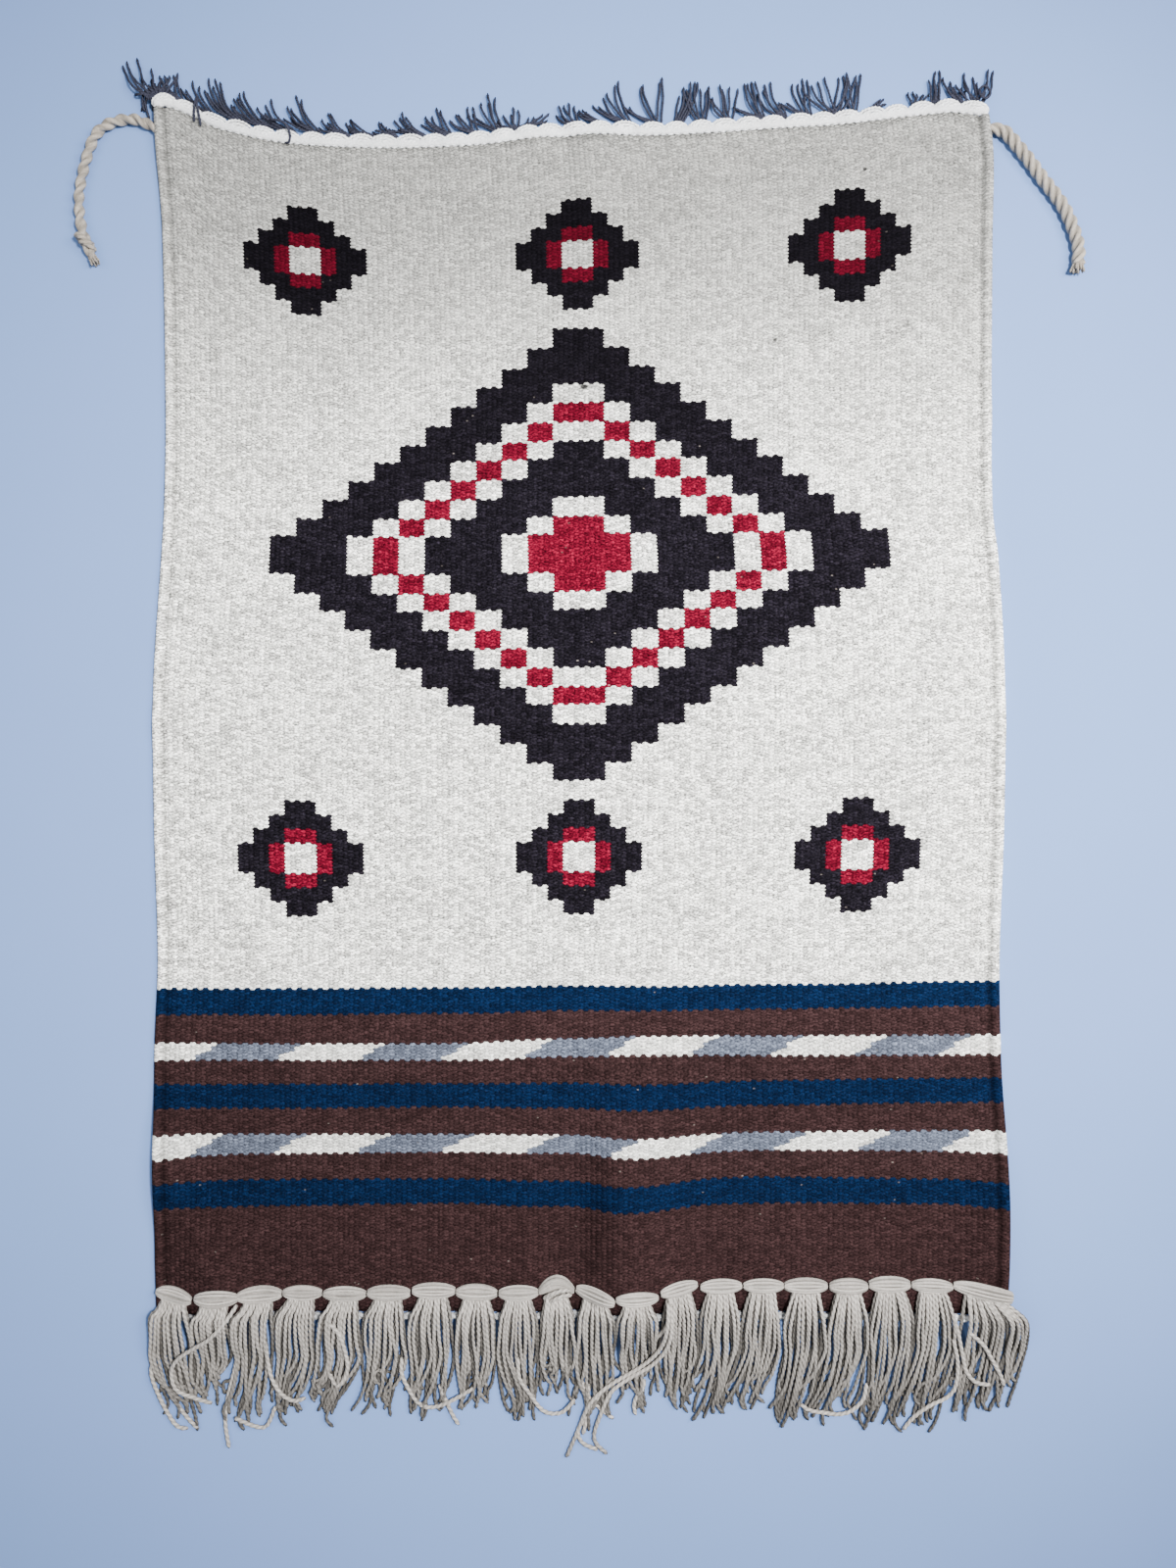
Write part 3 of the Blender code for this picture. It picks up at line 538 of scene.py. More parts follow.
class Tubes:
    """Closed tubes of yarn, gathered for one mesh object."""

    def __init__(self):
        self.points = []
        self.faces = []
        self.caps = []
        self.uvs = []
        self.cap_uvs = []
        self.count = 0

    def add(self, path, radius, section, turn=0.0, phase=0.0, end_scale=0.55, flatten=1.0,
            start_at=0.0):
        """One tube along a path. The section's reaches twist fully around in each turn.

        Its yarn coordinate along the path begins at start_at millimetres.
        """
        path = np.array(path, dtype=float)
        rings = len(path)
        sides = len(section)
        radius = radius * np.ones(rings)
        path[:, 2] = np.maximum(path[:, 2], radius * flatten + 0.05)
        radius[[0, -1]] *= end_scale
        along = directions(path)
        side = np.cross(along, (0.0, 0.0, 1.0))
        side /= np.linalg.norm(side, axis=1)[:, None] + 1e-9
        upward = np.cross(side, along)
        place = distances(path)
        twist = phase + (math.tau * place / turn if turn else 0.0 * place)
        angle = (np.arange(sides) * math.tau / sides)[None, :] + twist[:, None]
        reach = radius[:, None] * section[None, :]
        across = (np.cos(angle) * reach)[:, :, None] * side[:, None, :]
        over = (np.sin(angle) * reach * flatten)[:, :, None] * upward[:, None, :]
        self.points.append((path[:, None, :] + across + over).reshape(-1, 3))

        ring, column = np.mgrid[0:rings - 1, 0:sides]
        yarn = (place + start_at) * MM
        self.faces.append(np.stack([
            self.count + (ring + r) * sides + (column + c) % sides for r, c in CORNERS
        ], axis=2).reshape(-1, 4))
        self.uvs.append(np.stack([
            np.stack([yarn[ring + r], (column + c) / sides], axis=2) for r, c in CORNERS
        ], axis=2).reshape(-1, 2))
        cap = np.arange(self.count, self.count + sides)
        self.caps += [cap[::-1].tolist(), (cap + (rings - 1) * sides).tolist()]
        self.cap_uvs += [np.tile((end, 0.5), (sides, 1)) for end in (yarn[0], yarn[-1])]
        self.count += rings * sides

    def make(self, name, material):
        """The mesh object, with its yarn coordinates."""
        faces = np.concatenate(self.faces).tolist() + self.caps
        uvs = np.concatenate(self.uvs + self.cap_uvs)
        return mesh_object(name, np.concatenate(self.points), faces, material, "yarn", uvs)


class Value:
    """An output of a material's nodes. Its methods make the Math nodes of SIGNS."""

    def __init__(self, graph, socket):
        self.graph = graph
        self.socket = socket

    def __rsub__(self, other):
        """A number less this."""
        return self.graph.math("SUBTRACT", other, self)

    def around(self, spread):
        """A value from 0 to 1 as a factor around 1."""
        return self.times_plus(spread, 1.0 - 0.5 * spread)


SIGNS = {
    "__add__": "ADD", "__sub__": "SUBTRACT", "__mul__": "MULTIPLY", "__truediv__": "DIVIDE",
    "__mod__": "FLOORED_MODULO", "__pow__": "POWER", "__abs__": "ABSOLUTE",
    "__lt__": "LESS_THAN", "__gt__": "GREATER_THAN", "floor": "FLOOR", "sin": "SINE",
    "cos": "COSINE", "at_least": "MAXIMUM", "at_most": "MINIMUM", "times_plus": "MULTIPLY_ADD",
}


def math_method(operation):
    """A method that makes a Math node of a value and any others."""
    return lambda value, *others: value.graph.math(operation, value, *others)


for sign, operation in SIGNS.items():
    setattr(Value, sign, math_method(operation))


class Graph:
    """A short way to write a material's nodes."""

    def __init__(self, name, roughness):
        self.material = bpy.data.materials.new(name)
        self.material.use_nodes = True
        self.tree = self.material.node_tree
        self.shader = self.tree.nodes["Principled BSDF"]
        self.shader.inputs["Roughness"].default_value = roughness
        self.shader.inputs["Specular IOR Level"].default_value = 0.04

    def put(self, socket, value):
        """Link a socket to a value, or set it to a plain number or colour."""
        if isinstance(value, Value):
            self.tree.links.new(value.socket, socket)
        else:
            socket.default_value = value

    def node(self, kind, inputs, output=0, **settings):
        """A new node with its settings and inputs. Gives one of its outputs."""
        item = self.tree.nodes.new("ShaderNode" + kind)
        for key, value in settings.items():
            setattr(item, key, value)
        for place, value in inputs.items():
            self.put(item.inputs[place], value)
        return Value(self, item.outputs[output])

    def math(self, operation, *values):
        """A Math node's result."""
        return self.node("Math", dict(enumerate(values)), operation=operation)

    def vector(self, *numbers):
        """A vector from up to three numbers."""
        return self.node("CombineXYZ", dict(enumerate(numbers)))

    def split(self, vector):
        """The first two numbers of a vector."""
        return [self.node("SeparateXYZ", {0: vector}, output) for output in (0, 1)]

    def place(self):
        """Place in the object's own coordinates."""
        return self.node("TexCoord", {}, "Object")

    def noise(self, vector, scale=1.0, detail=2.0):
        """Noise from 0 to 1."""
        return self.node("TexNoise", {"Vector": vector, "Scale": scale, "Detail": detail})

    def white(self, vector):
        """A random number for each whole-number place."""
        return self.node("TexWhiteNoise", {"Vector": vector}, "Value", noise_dimensions="3D")

    def mix(self, share, first, second):
        """Mix of two colours."""
        return self.node("Mix", {0: share, 6: first, 7: second}, 2, data_type="RGBA")

    def scaled(self, colour, factor):
        """A colour times a number."""
        return self.node("VectorMath", {0: colour, 3: factor}, operation="SCALE")

    def steps(self, at, stops):
        """Colour by place: each (place, colour) holds up to the next one."""
        colour = self.node("ValToRGB", {0: at})
        ramp = colour.socket.node.color_ramp
        ramp.interpolation = "CONSTANT"
        ramp.elements.remove(ramp.elements[1])
        ramp.elements[0].position = stops[0][0]
        ramp.elements[0].color = stops[0][1]
        for place, stop in stops[1:]:
            ramp.elements.new(place).color = stop
        return colour

    def finish(self, colour, relief=0.5, depth=0.0):
        """Set the base colour and a relief from 0 to 1, its depth in metres."""
        self.put(self.shader.inputs["Base Color"], colour)
        if depth:
            bump = {"Strength": 1.0, "Distance": depth, "Height": relief}
            self.put(self.shader.inputs["Normal"], self.node("Bump", bump))
        return self.material


def stepped_diamond(g, across, along, step, rings, limit=16.0):
    """Colour of a stepped diamond at its distances across and along from its middle."""
    stops = []
    start = 0
    for ring in rings:
        stops.append((start / limit, linear(ring.colour)))
        start += ring.steps
    total = (across / step[0]).floor() + (along / step[1]).floor()
    return g.steps((total + 0.5) / limit, stops), total


def field_colour(g, u, v):
    """Colour of the field: a stepped medallion and six small stepped diamonds."""
    across = abs(u - MEDALLION_U)
    along = abs(v - MEDALLION_V)
    medallion = stepped_diamond(g, across, along, MEDALLION_STEP, MEDALLION_RINGS)[0]
    near_across = abs(across - SMALL_AT[0]).at_most(across)
    near_along = abs(along - SMALL_AT[1])
    small, steps_out = stepped_diamond(g, near_across, near_along, SMALL_STEP, SMALL_RINGS)
    return g.mix(steps_out < 4.0, medallion, small)


def slanted_colour(g, u, v, middle):
    """Colour of a slanted band: cream and lavender pieces that lean to the right."""
    count = ((v - middle).times_plus(SLANT_SLOPE, u) - SLANT_FIRST) / SLANT_PERIOD
    return g.mix((count.floor() + 1.0) % 2.0, linear("cream"), linear("lavender"))


def design_colour(g, u, v):
    """Colour of the whole design: the field, then each stripe from its start on."""
    colour = field_colour(g, u, v)
    for stripe, following in zip(STRIPES, STRIPES[1:] + STRIPES[-1:]):
        if stripe.colour == "slanted":
            own = slanted_colour(g, u, v, (stripe.start + following.start) * 0.5)
        else:
            own = linear(stripe.colour)
        colour = g.mix(v > stripe.start, colour, own)
    return colour


def stain_factor(g, u, v):
    """Darkening by the few small stains."""
    factor = 1.0
    ragged = g.noise(g.vector(u * 0.25, v * 0.25)) * 0.6
    for stain in STAINS:
        across = (u - stain.u) / stain.across
        along = (v - stain.v) / stain.along
        fade = (1.8 - (across * across + along * along + ragged)).at_least(0.0).at_most(1.0)
        factor = (1.0 - fade * stain.strength) * factor
    return factor


def eased(g, v, change):
    """A factor that changes smoothly down the weave."""
    return g.node("MapRange", dict(enumerate((v, *change))), interpolation_type="SMOOTHSTEP")


def weave_material():
    """Weft-faced wool: beads of weft over each rib, with the rug's design by bead."""
    g = Graph("weft_faced_wool", 0.95)
    u, v = [metres * 1000.0 for metres in g.split(g.node("UVMap", {}, uv_map="weave"))]
    sway = g.noise(g.vector(u * 0.012, v * 0.03)) - 0.5
    shake = g.noise(g.vector(u * 0.22, v * 0.16)) - 0.5
    v_hand = shake.times_plus(WEFT_WANDER, sway.times_plus(WEFT_WANDER, v))

    # Each bead bulges over its rib, so the line between two ribs zigzags a little.
    along_bead = v_hand.times_plus(math.tau / BEAD_PITCH, -math.pi)
    bulge = along_bead.cos() * (u * (math.pi / RIB_PITCH)).cos()
    rib = bulge.times_plus(0.5, u) / RIB_PITCH
    rib_number = rib.floor()
    across = rib - rib_number
    odd = rib_number % 2.0
    bead = odd.times_plus(0.5, v_hand / BEAD_PITCH)
    bead_number = bead.floor()
    along = bead - bead_number
    middle_u = (rib_number + 0.5) * RIB_PITCH
    middle_v = (bead_number + 0.5 - odd * 0.5) * BEAD_PITCH
    design = design_colour(g, middle_u, middle_v)

    # Uneven dye: by bead, along the fibres, by weft row and in broad patches.
    by_bead = g.white(g.vector(rib_number, bead_number)).around(0.6)
    fibre = g.noise(g.vector(u * 0.6, v_hand * 0.95), detail=4.0)
    by_row = g.noise(g.vector(u * 0.008, v_hand * 0.33), detail=3.0).around(0.5)
    by_patch = g.noise(g.vector(u * 0.02, v * 0.02), detail=3.0).around(0.35)

    # The selvedge is a plain rounded ridge with painted shade in the groove on its inner side.
    inset = WEAVE_WIDTH * 0.5 - abs(u - WEAVE_WIDTH * 0.5)
    off_groove = (inset - SELVEDGE_GROOVE) / GROOVE_REACH
    groove = (1.0 - off_groove * off_groove).at_least(0.0)
    groove_shade = groove.times_plus(-GROOVE_PAINTED_SHADE, 1.0)
    round_across = ((across * math.pi).sin() ** 0.35).at_least(inset < SELVEDGE_GROOVE)
    mound = round_across * (along * math.pi).sin() ** 0.5

    # Painted shade: the colour is darker where the mound is low, in the hollows between beads and ribs.
    grain_and_bead_shade = by_bead * fibre.around(3.3) * mound.times_plus(0.44, 0.63)
    tone = grain_and_bead_shade.at_least(0.05) ** (eased(g, v, GRAIN_TOP) * eased(g, v, GRAIN_BORDER))
    # Random tone and stains, and painted shade in the selvedge groove, over the upper part and over the
    # lower border.
    for factor in (by_row, by_patch, groove_shade, eased(g, v, PAINTED_SHADE_TOP),
                   eased(g, v, PAINTED_SHADE_BORDER), stain_factor(g, u, v)):
        tone = tone * factor

    # Paler hairs show as a heather in the dark wool, and here and there as lint.
    hair = g.noise(g.vector(u * 0.9, v * 0.9, 4.0), detail=3.0) - HAIR_FROM
    lint = g.white(g.vector((u * 0.7).floor(), (v * 1.1).floor(), 3.0)) > LINT_FROM
    for share in (hair.at_least(0.0) * 0.16, lint * 0.3):
        design = g.mix(share, design, linear("lint"))
    return g.finish(g.scaled(design, tone), fibre.times_plus(0.9, mound), 0.0004)


def yarn_material(name, colour, plies=2, line=0.22, fibre_spread=0.9, strand_shade=0.0,
                  lower_shade=0.0):
    """Spun yarn: plies with painted shade in the lines between them, fine fibres and an uneven tone.

    The strand_shade is how much of its tone a strand loses in each metre from its root, painted
    light near the root and painted shade towards the tip; the lower_shade how much is lost to
    painted shade in the rug's lower half, apart from its right-hand end.
    """
    g = Graph(name, 0.9)
    along, around = g.split(g.node("UVMap", {}, uv_map="yarn"))
    slope = along.times_plus(220.0, around * 2.0)
    fibre = g.noise(g.vector(slope, around * 9.0, along * 60.0), 3.0, 3.0)
    place = g.place()
    tone = fibre.around(fibre_spread) * g.noise(place, 90.0).around(0.5)
    tone = tone * g.noise(place, 700.0).around(0.5)
    # Painted shade darkens the lines between the plies.
    between = (around * (math.tau * plies)).cos()
    tone = tone * between.times_plus(line, 1 - line * 0.64)
    if lower_shade:
        # Painted shade over the rug's lower half, apart from its right-hand end.
        x, y = g.split(place)
        in_lower_shade = (y < 0.0) * (x < UNSHADED_CORD_END)
        tone = tone * in_lower_shade.times_plus(-lower_shade, 1.0)
    if strand_shade:
        # Painted light near a strand's root and painted shade towards its tip.
        kept = (along - STRAND_SHADE_START).times_plus(-strand_shade, 1.0)
        tone = tone * kept.at_least(DARKEST_PAINTED_STRAND).at_most(BRIGHTEST_PAINTED_STRAND)
    return g.finish(g.scaled(linear(colour)[:3], tone), fibre, 0.00035)


def floor_material():
    """Plain pale floor with a faint unevenness."""
    g = Graph("pale_floor", 0.8)
    patch = g.noise(g.place(), 9.0, 4.0)
    return g.finish(g.scaled(linear("floor")[:3], patch.around(0.06)))


def weft_place(row_y, share):
    """Distance down the weave, with the weft lines' slight sinking taken out."""
    v = WEAVE_START - row_y
    sunk = 0.0
    for i in range(len(SINK_SHARES)):
        only_this = [float(i == k) for k in range(len(SINK_SHARES))]
        near = np.interp(share, SINK_SHARES, only_this)
        near = near**2 * (3 - 2 * near)
        sunk = sunk + near * smooth_read([(row.v, row.sunk[i]) for row in SINKS], v)
    return v - sunk


def cloth_columns():
    """Places of the cloth's columns across the weave, finer over the ribs and selvedges."""
    insets = np.array([row.inset for row in SELVEDGE])
    first = SELVEDGE_RIBS * RIB_PITCH
    ribs = RIB_COUNT - 2 * SELVEDGE_RIBS
    middle = first + np.arange(1, ribs * COLUMNS_PER_RIB) * RIB_PITCH / COLUMNS_PER_RIB
    return np.concatenate([insets, middle, WEAVE_WIDTH - insets[::-1]])


def cloth_height(u):
    """Height of the upper side over the underside at a place across the weave."""
    inset = np.minimum(u, WEAVE_WIDTH - u)
    edge = np.interp(inset, [row.inset for row in SELVEDGE], [row.height for row in SELVEDGE])
    rib = RIB_VALLEY + RIB_RELIEF * np.abs(np.sin(np.pi * u / RIB_PITCH)) ** 0.8
    return np.where(inset <= SELVEDGE[-1].inset, edge, rib)


def build_cloth(material):
    """The woven cloth: ribs, selvedges and folds above, a plain underside below."""
    columns = cloth_columns()
    row_y = np.linspace(CLOTH_TOP, CLOTH_BOTTOM, CLOTH_ROW_COUNT)[:, None]
    share = (columns / WEAVE_WIDTH)[None, :]
    left, right = selvedges(row_y)
    x = left + (right - left) * share
    from_bottom = (row_y - CLOTH_BOTTOM) / (CLOTH_TOP - CLOTH_BOTTOM)
    top_pull = top_line(x) - (TOP_CORD_HALF_WIDTH + EDGE_GAP) - CLOTH_TOP
    bottom_pull = bottom_line(x) + (BOTTOM_CORD_HALF_WIDTH + EDGE_GAP) - CLOTH_BOTTOM
    weave_y = row_y + bottom_pull * (1 - from_bottom)**3
    y = weave_y + top_pull * from_bottom**3
    low = lift(x, y)
    high = low + cloth_height(columns)[None, :]
    rows, count = x.shape
    upper = np.stack([x, y, high], axis=2).reshape(-1, 3)
    across = np.broadcast_to(columns[None, :], x.shape)
    uv = np.stack([across, weft_place(weave_y, share)], axis=2).reshape(-1, 2) * MM

    # The underside keeps every column on its first and last row, and few between.
    kept = sorted(set(range(0, count, UNDERSIDE_STRIDE)) | {count - 1})
    under = {}
    copied = []
    for r in range(rows):
        for c in (range(count) if r in (0, rows - 1) else kept):
            under[(r, c)] = len(upper) + len(under)
            copied.append(r * count + c)
    lower = np.stack([x, y, low], axis=2).reshape(-1, 3)[copied]

    grid = np.arange(rows * count).reshape(rows, count)
    quads = np.stack([grid[:-1, :-1], grid[1:, :-1], grid[1:, 1:], grid[:-1, 1:]], axis=2)
    faces = quads.reshape(-1, 4).tolist()
    for r in range(rows - 1):
        for a, b in zip(kept, kept[1:]):
            above = range(a, b + 1) if r == 0 else (a, b)
            below = range(a, b + 1) if r == rows - 2 else (a, b)
            face = [under[(r, c)] for c in above]
            faces.append(face + [under[(r + 1, c)] for c in reversed(below)])

    # The rim runs along the top, down the right side, back and up the left side.
    rim = [(0, c) for c in range(count)]
    rim += [(r, count - 1) for r in range(1, rows)]
    rim += [(rows - 1, c) for c in reversed(range(count - 1))]
    rim += [(r, 0) for r in reversed(range(rows - 1))]
    for a, b in zip(rim, rim[1:]):
        faces.append([int(grid[a]), int(grid[b]), under[b], under[a]])
    corner_uvs = np.concatenate([uv, uv[copied]])[np.concatenate(faces)]
    points = np.concatenate([upper, lower])
    return mesh_object("rug_cloth", points, faces, material, "weave", corner_uvs)


ARC_FOOT = 2.0
TOP_ARCS = table(
    "half_width reach height",
    (10.4, 3.6, 4.6),
    (7.8, 1.2, 5.6),
    (5.2, -1.2, 5.6),
)


def edge_run(cord_y, step):
    """Places along the cloth's edge at an even step, from selvedge to selvedge."""
    left, right = selvedges(cord_y)
    return np.arange(left + 1.0, right - 1.0, step)


def build_top_cord(material):
    """The top cord: nested yarns that arch over one another along a plump core."""
    tubes = Tubes()
    x = edge_run(CLOTH_TOP, CORD_RING_STEP)
    tubes.add(raised(x, top_line(x) - 1.9, TOP_CORD_HEIGHT * 0.5), 2.6, ROUND)
    loop_y = top_line(x) - 3.5 + 0.55 * np.sin(math.tau * x / EDGE_LOOP_PITCH)
    tubes.add(raised(x, loop_y, EDGE_LOOP_HEIGHT), 1.35, BUNDLE, turn=EDGE_LOOP_PITCH * 5)
    chance = random.Random(31)
    angle = np.linspace(math.pi, 0.0, 15)
    middle_x = x[0] + TOP_CORD_TURN * 0.45
    while middle_x < x[-1] - TOP_CORD_TURN * 0.3:
        size = chance.uniform(0.92, 1.08)
        for arc in TOP_ARCS:
            across = middle_x + arc.half_width * size * np.cos(angle)
            across = np.clip(across, x[0] - 0.6, x[-1] + 0.6)
            rise = np.sin(angle)
            y = top_line(across) + arc.reach * size * rise - 3.2 * (1.0 - rise)
            path = raised(across, y, ARC_FOOT + (arc.height - ARC_FOOT) * rise**0.7)
            tubes.add(path, 1.3, TWO_PLY, turn=6.0, phase=chance.uniform(0.0, 3.0))
        middle_x += TOP_CORD_TURN * chance.uniform(0.9, 1.1)
    return tubes.make("top_cord_yarns", material)


def build_bottom_cord(material):
    """The bottom cord: two yarns that turn around each other along the edge."""
    tubes = Tubes()
    x = edge_run(CLOTH_BOTTOM, CORD_RING_STEP)
    y = bottom_line(x)
    low = lift(x, y)
    radius = 1.75
    swing = BOTTOM_CORD_HEIGHT * 0.5 - radius
    for phase in (0.0, math.pi):
        angle = math.tau * x / BOTTOM_CORD_TURN + phase
        middle_z = low + BOTTOM_CORD_HEIGHT * 0.5 + swing * np.sin(angle)
        path = np.stack([x, y + 1.1 * np.cos(angle), middle_z], axis=1)
        tubes.add(path, radius, BUNDLE, turn=BOTTOM_CORD_TURN * 1.6)
    return tubes.make("bottom_cord_yarns", material)


def wavy(path, chance, size, wave):
    """A path that wanders a little from side to side, more towards its free end."""
    along = directions(path)
    side = np.stack([-along[:, 1], along[:, 0], 0.0 * along[:, 0]], axis=1)
    share = np.linspace(0.0, 1.0, len(path))
    phase = chance.uniform(0.0, math.tau)
    swing = size * share * np.sin(math.tau * share * wave + phase)
    return path + side * swing[:, None]


def warp_end(root_x, tip, chance):
    """Path of one warp end: up through the cord, low along it, then out to its tip."""
    root_y = top_line(root_x) + TOP_CORD_HALF_WIDTH
    low = lift(root_x, root_y)
    across = tip[0] * 1.06 + chance.uniform(-1.2, 1.2)
    up = tip[1] * chance.uniform(0.95, 1.22)
    height = chance.uniform(0.0, 2.0)
    points = [
        (root_x, root_y - 3.4, low + 3.6),
        (root_x + across * 0.05, root_y - 0.4, low + 2.8),
        (root_x + across * 0.62, root_y + up * 0.36, max(low, WARP_RADIUS) + height + 0.8),
        (root_x + across * 0.93, root_y + up * 0.78, WARP_RADIUS + height),
        (root_x + across, root_y + up, WARP_RADIUS + height * 0.5),
    ]
    return wavy(smooth_path(points, WARP_RING_STEP), chance, 0.7, 1.3)


def build_warp_ends(number, first_x, last_x, material):
    """One run of the warp ends that stand out past the top cord."""
    chance = random.Random(500 + number)
    tubes = Tubes()
    for group in THRUM_GROUPS:
        if not first_x < group.x < last_x:
            continue
        tips = group.tips * 2
        for i, tip in enumerate(tips):
            root_x = group.x + (i - (len(tips) - 1) * 0.5) * WARP_SPACING
            path = warp_end(root_x, tip, chance)
            tubes.add(path, WARP_RADIUS, TWO_PLY, turn=5.0, phase=chance.uniform(0.0, 6.0))
    for route in OVER_ENDS:
        if first_x < route[0][0] < last_x:
            tubes.add(smooth_path(route, 1.4), WARP_RADIUS, TWO_PLY, turn=5.0)
    return tubes.make("warp_ends_%d" % number, material)


def on_head(tassel, along, across):
    """Places at distances along and across a tassel's tilted head."""
    tilt = math.radians(tassel.tilt)
    return (tassel.x + along * math.cos(tilt) - across * math.sin(tilt),
            tassel.y + along * math.sin(tilt) + across * math.cos(tilt))


def add_head(tubes, tassel, chance):
    """The bound head: yarns side by side over a core, drawn together at both ends.

    The wide head wraps around the selvedge, so its outer end stays full.
    """
    place = np.sin(np.linspace(-0.5, 0.5, 21) * math.pi)
    fullness = np.maximum(np.cos(place * math.pi * 0.5), 0.03) ** HEAD_FULLNESS
    if tassel.half > WIDE_HEAD:
        fullness = np.where(place > 0.0, fullness**WRAPPED_FULLNESS, fullness)
    along = place * (tassel.half + 0.2)
    arch = tassel.arch * (1.0 - place**2)
    depth = tassel.depth - YARN_RADIUS
    height = HEAD_HEIGHT - YARN_RADIUS
    for i in range(HEAD_YARNS):
        turn = math.radians(-84.0 + 168.0 * i / (HEAD_YARNS - 1) + chance.uniform(-3.0, 3.0))
        x, y = on_head(tassel, along, math.sin(turn) * depth * fullness + arch)
        z = on_cloth(x, y) + 0.5 + math.cos(turn) * height * fullness
        tubes.add(np.stack([x, y, z], axis=1), YARN_RADIUS * 0.98, TWO_PLY,
                  phase=chance.uniform(0.0, 3.0))
    x, y = on_head(tassel, along, arch)
    core = np.stack([x, y, on_cloth(x, y) + 1.6 * fullness], axis=1)
    tubes.add(core, (depth - 0.6) * np.maximum(fullness, 0.2), ROUND, flatten=0.62)


def strand_path(tassel, place, layer, longest, chance):
    """Path of one strand: out from under the head, over the edge cord, to the floor."""
    root_x, root_y = on_head(tassel, place * tassel.half * 0.56, 0.0)
    root_y += tassel.arch * (1.0 - place**2) - tassel.depth * 0.3
    belly_x = tassel.belly + (place * 1.06 + chance.uniform(-0.12, 0.12)) * tassel.belly_half
    belly_y = tassel.y - BELLY_DROP
    tip_x = tassel.tip + (place * 0.92 + chance.uniform(-0.45, 0.45)) * tassel.tip_half
    tip_y = tassel.longest_y if longest else tassel.tip_y + chance.uniform(-7.0, 17.0)
    over_x = root_x + (belly_x - root_x) * 0.86
    over_y = bottom_line(over_x)
    over_z = lift(over_x, over_y) + BOTTOM_CORD_HEIGHT + YARN_RADIUS + layer
    out_x = root_x + (belly_x - root_x) * 0.42
    out_y = tassel.y - tassel.depth - 3.5
    out_z = on_cloth(out_x, out_y) + YARN_RADIUS + 0.3 + layer
    floor_z = YARN_RADIUS + layer
    curl = chance.uniform(-5.0, 5.0)
    points = [
        (root_x, root_y, on_cloth(root_x, root_y) + YARN_RADIUS + 0.4),
        (out_x, out_y, out_z),
        (over_x, over_y, over_z),
        (belly_x + (belly_x - over_x) * 0.1, belly_y + 13.0, floor_z + over_z * 0.30),
        (belly_x, belly_y, floor_z),
        (belly_x * 0.45 + tip_x * 0.55, belly_y * 0.45 + tip_y * 0.55, floor_z),
        (tip_x, tip_y + 8.0, YARN_RADIUS + layer * 0.6),
        (tip_x + curl, tip_y, YARN_RADIUS + layer * 0.3),
    ]
    return wavy(smooth_path(points, YARN_RING_STEP), chance, chance.uniform(0.8, 3.2), 1.2)


def build_tassel(number, tassel, material):
    """One tassel: its head, its hanging strands and any that stray."""
    chance = random.Random(900 + number)
    tubes = Tubes()
    tassel = tassel._replace(x=tassel.x * HEAD_SPREAD, y=tassel.y - HEAD_LOWERING)
    add_head(tubes, tassel, chance)
    count = WIDE_TASSEL_STRANDS if tassel.half > WIDE_HEAD else TASSEL_STRANDS
    longest = chance.randrange(2, count - 2)
    for i in range(count):
        place = 2.0 * i / (count - 1) - 1.0
        over = i % 2
        layer = 2.4 * over + chance.uniform(0.0, 0.6)
        path = strand_path(tassel, place, layer, i == longest, chance)
        # Strands of the lower layer start further along, so they take more painted shade.
        tubes.add(path, YARN_RADIUS * chance.uniform(0.92, 1.05), TWO_PLY, turn=YARN_TURN,
                  phase=chance.uniform(0.0, 3.0),
                  start_at=0.0 if over else UNDER_STRAND_SHADE_START)
    for stray in STRAYS:
        if stray.tassel == number:
            path = smooth_path(stray.route, YARN_RING_STEP)
            # Strays start before the root, so they take painted light.
            tubes.add(path, YARN_RADIUS * 1.14, TWO_PLY, turn=YARN_TURN, start_at=STRAY_STRAND_LIGHT_START)
    return tubes.make("tassel_yarns_%02d" % number, material)


def build_rope(rope, material):
    """A corner rope of plies that turn around each other, and its path."""
    radius = rope.diameter * 0.5
    path = smooth_path([(x, y, radius * 1.02) for x, y in rope.route], ROPE_RING_STEP)
    swell = np.interp(np.linspace(0.0, 1.0, len(path)), *zip(*rope.shape))
    tubes = Tubes()
    tubes.add(path, radius * swell, rope_section(rope.plies, rope.ply), turn=-rope.turn,
              end_scale=0.85)
    return tubes.make("rope_plies_" + rope.end, material), path


def add_wrap(tubes, wrap):
    """A turn of yarn that ties a rope: a ring that stands aslant over it."""
    angle = np.linspace(-0.5 * math.pi, 1.5 * math.pi, 25)
    slant = math.radians(wrap.slant)
    out = wrap.reach * np.cos(angle)
    x = wrap.x + out * math.cos(slant)
    y = wrap.y + out * math.sin(slant)
    z = wrap.height + wrap.height * 0.95 * np.sin(angle)
    tubes.add(np.stack([x, y, z], axis=1), wrap.radius, BUNDLE, turn=16.0)


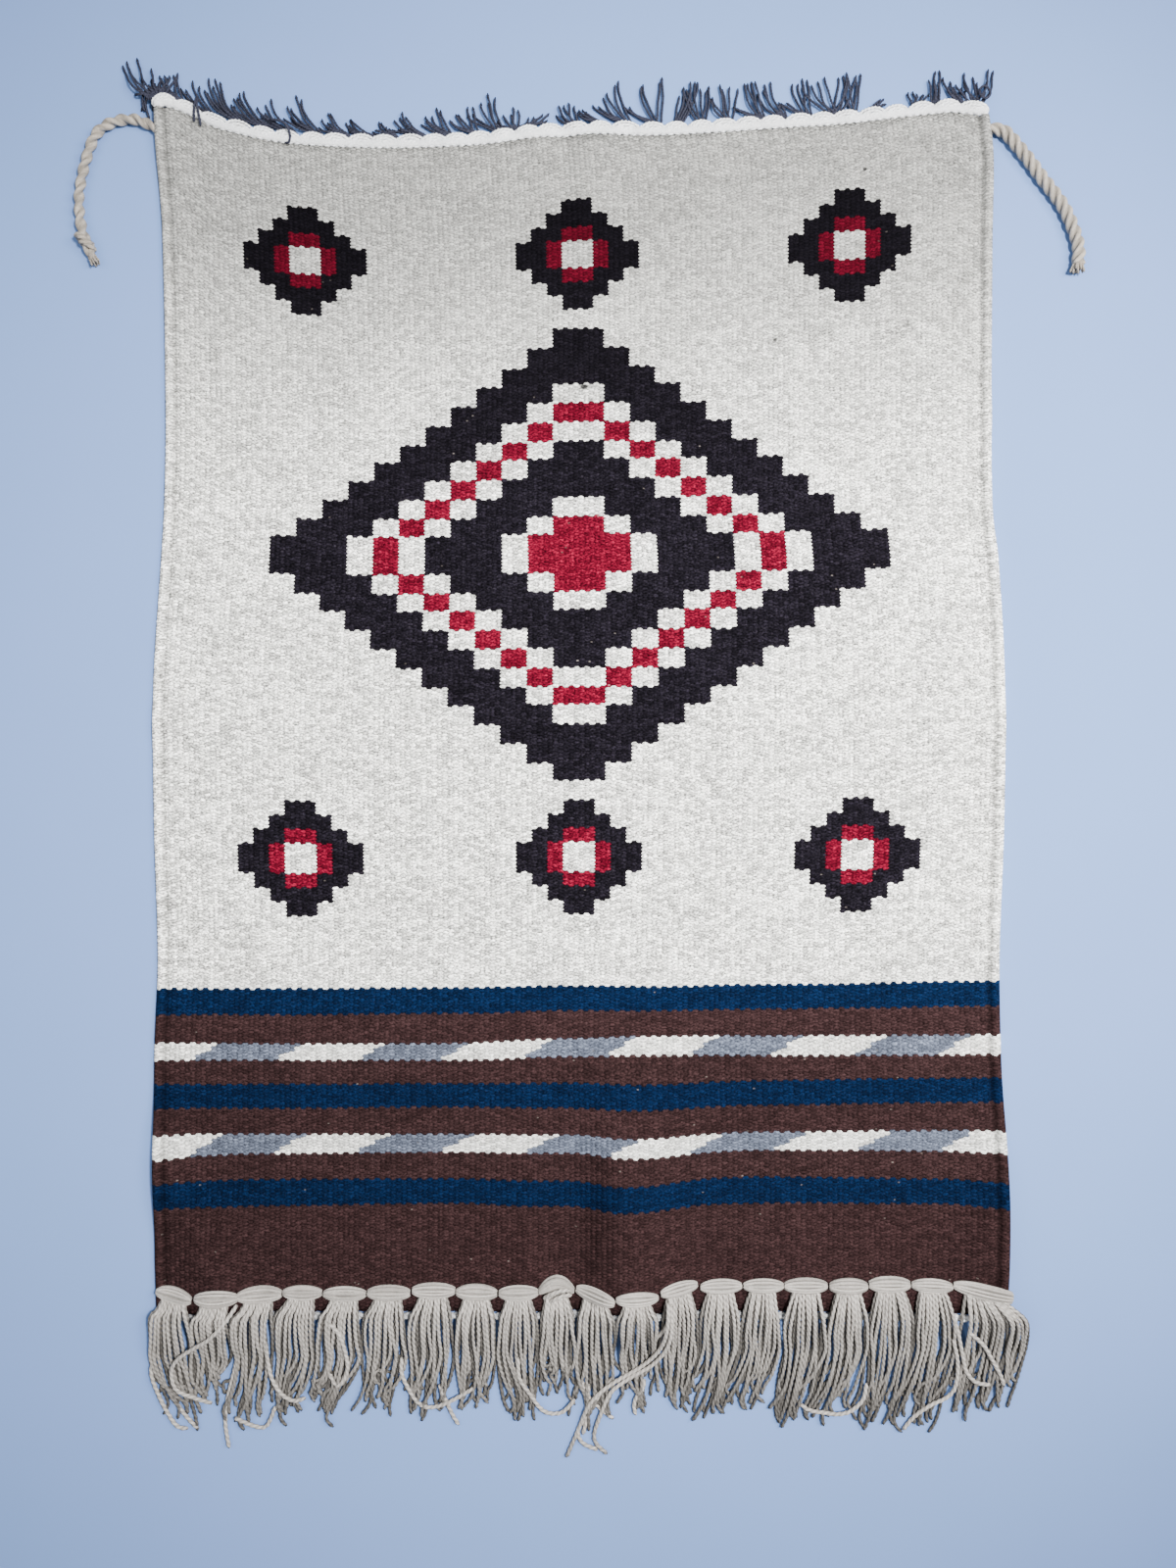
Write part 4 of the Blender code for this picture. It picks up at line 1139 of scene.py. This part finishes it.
def build_tuft(rope, path, material):
    """The frayed yarns at a rope's free end, set around its section, and its tied knot."""
    name = "rope_tuft_" + rope.end
    radius = rope.diameter * 0.5
    ahead = path[-1] - path[-3]
    ahead /= np.linalg.norm(ahead)
    side = np.array([-ahead[1], ahead[0], 0.0])
    chance = random.Random(len(name))
    tubes = Tubes()
    for wrap in rope.wraps:
        add_wrap(tubes, wrap)
    for i in range(rope.yarns):
        angle = i * 2.4
        off = radius * 0.72 * math.sqrt((i + 0.5) / rope.yarns)
        out = side * math.cos(angle) + np.array([0.0, 0.0, math.sin(angle)])
        start = path[-1] + out * off
        length = rope.yarn_length * chance.uniform(0.55, 1.0)
        end = start + (ahead + out * rope.spread * off / radius) * length
        tubes.add(smooth_path([start - ahead * 3.0, start, end], 1.1), 0.95, TWO_PLY, turn=5.0)
    return tubes.make(name, material)


def build_stage():
    """Plain pale floor."""
    bpy.ops.mesh.primitive_plane_add(size=8.0, location=(0.0, 0.0, 0.0))
    floor = bpy.context.active_object
    floor.name = "pale_floor"
    floor.data.materials.append(floor_material())


LAMPS = table(
    "name kind place aim power settings",
    ("key_light", "AREA", (1.4, 0.4, 1.4), (0.1, -0.1, 0), 36, {"shape": "SQUARE", "size": 0.8}),
    ("fill_light", "AREA", (-1.3, 0.2, 1.7), (0, 0, 0), 16, {"shape": "SQUARE", "size": 1.4}),
    ("pool_light", "SPOT", (0.62, 0.22, 1.62), (0.065, 0.035, 0), 336,
     {"spot_size": math.radians(60), "spot_blend": 1, "shadow_soft_size": 0.14}),
)


def build_lights():
    """Soft light from the upper right, with a brighter pool over the rug's middle."""
    for lamp in LAMPS:
        data = bpy.data.lights.new(lamp.name, lamp.kind)
        data.energy = lamp.power
        for key, value in lamp.settings.items():
            setattr(data, key, value)
        item = bpy.data.objects.new(lamp.name, data)
        item.location = lamp.place
        reach = np.array(lamp.aim) - np.array(lamp.place)
        down = math.atan2(math.hypot(reach[0], reach[1]), -reach[2])
        item.rotation_euler = (down, 0.0, math.atan2(-reach[0], reach[1]))
        bpy.context.scene.collection.objects.link(item)
    world = bpy.data.worlds.new("soft_world")
    world.use_nodes = True
    background = world.node_tree.nodes["Background"]
    background.inputs[0].default_value = (0.80, 0.88, 1.0, 1.0)
    background.inputs[1].default_value = 0.38
    bpy.context.scene.world = world


def build_camera():
    """The photograph's view: straight down onto the rug."""
    data = bpy.data.cameras.new("camera")
    data.lens = CAMERA_LENS
    data.sensor_width = CAMERA_SENSOR
    camera = bpy.data.objects.new("camera", data)
    camera.location = at_part([CAMERA_PLACE])[0]
    bpy.context.scene.collection.objects.link(camera)
    bpy.context.scene.camera = camera


def attach(piece, node):
    """Let a piece stand for a node of the frame, and give the piece back."""
    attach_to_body(piece, "root")
    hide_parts(node)
    return piece


def main():
    """Build the visual rug over the frame."""
    build_camera()
    build_lights()
    build_stage()
    rope_wool = yarn_material("rope_wool", "rope", plies=3)
    tassel_wool = yarn_material("tassel_wool", "tassel", strand_shade=11.0)
    cotton = yarn_material("white_cotton", "cotton", line=0.14, fibre_spread=0.4, lower_shade=0.5)
    slate = yarn_material("slate_warp", "slate")

    for rope in ROPES:
        plies, path = build_rope(rope, rope_wool)
        attach(plies, "corner_rope_" + rope.end)
        loose = build_tuft(rope, path, rope_wool)
        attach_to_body(loose, "root")

    trims = [attach(build_top_cord(cotton), "top_edge_cord"),
             attach(build_bottom_cord(cotton), "bottom_edge_cord")]
    for number, (first_x, last_x) in enumerate(zip(WARP_RUNS, WARP_RUNS[1:]), start=1):
        ends = build_warp_ends(number, first_x, last_x, slate)
        trims.append(attach(ends, "warp_thrums_%d" % number))
    for number, tassel in enumerate(TASSELS, start=1):
        yarns = build_tassel(number, tassel, tassel_wool)
        trims.append(attach(yarns, "tassel_%02d" % number))

    cloth = attach(build_cloth(weave_material()), "rug_panel")


main()
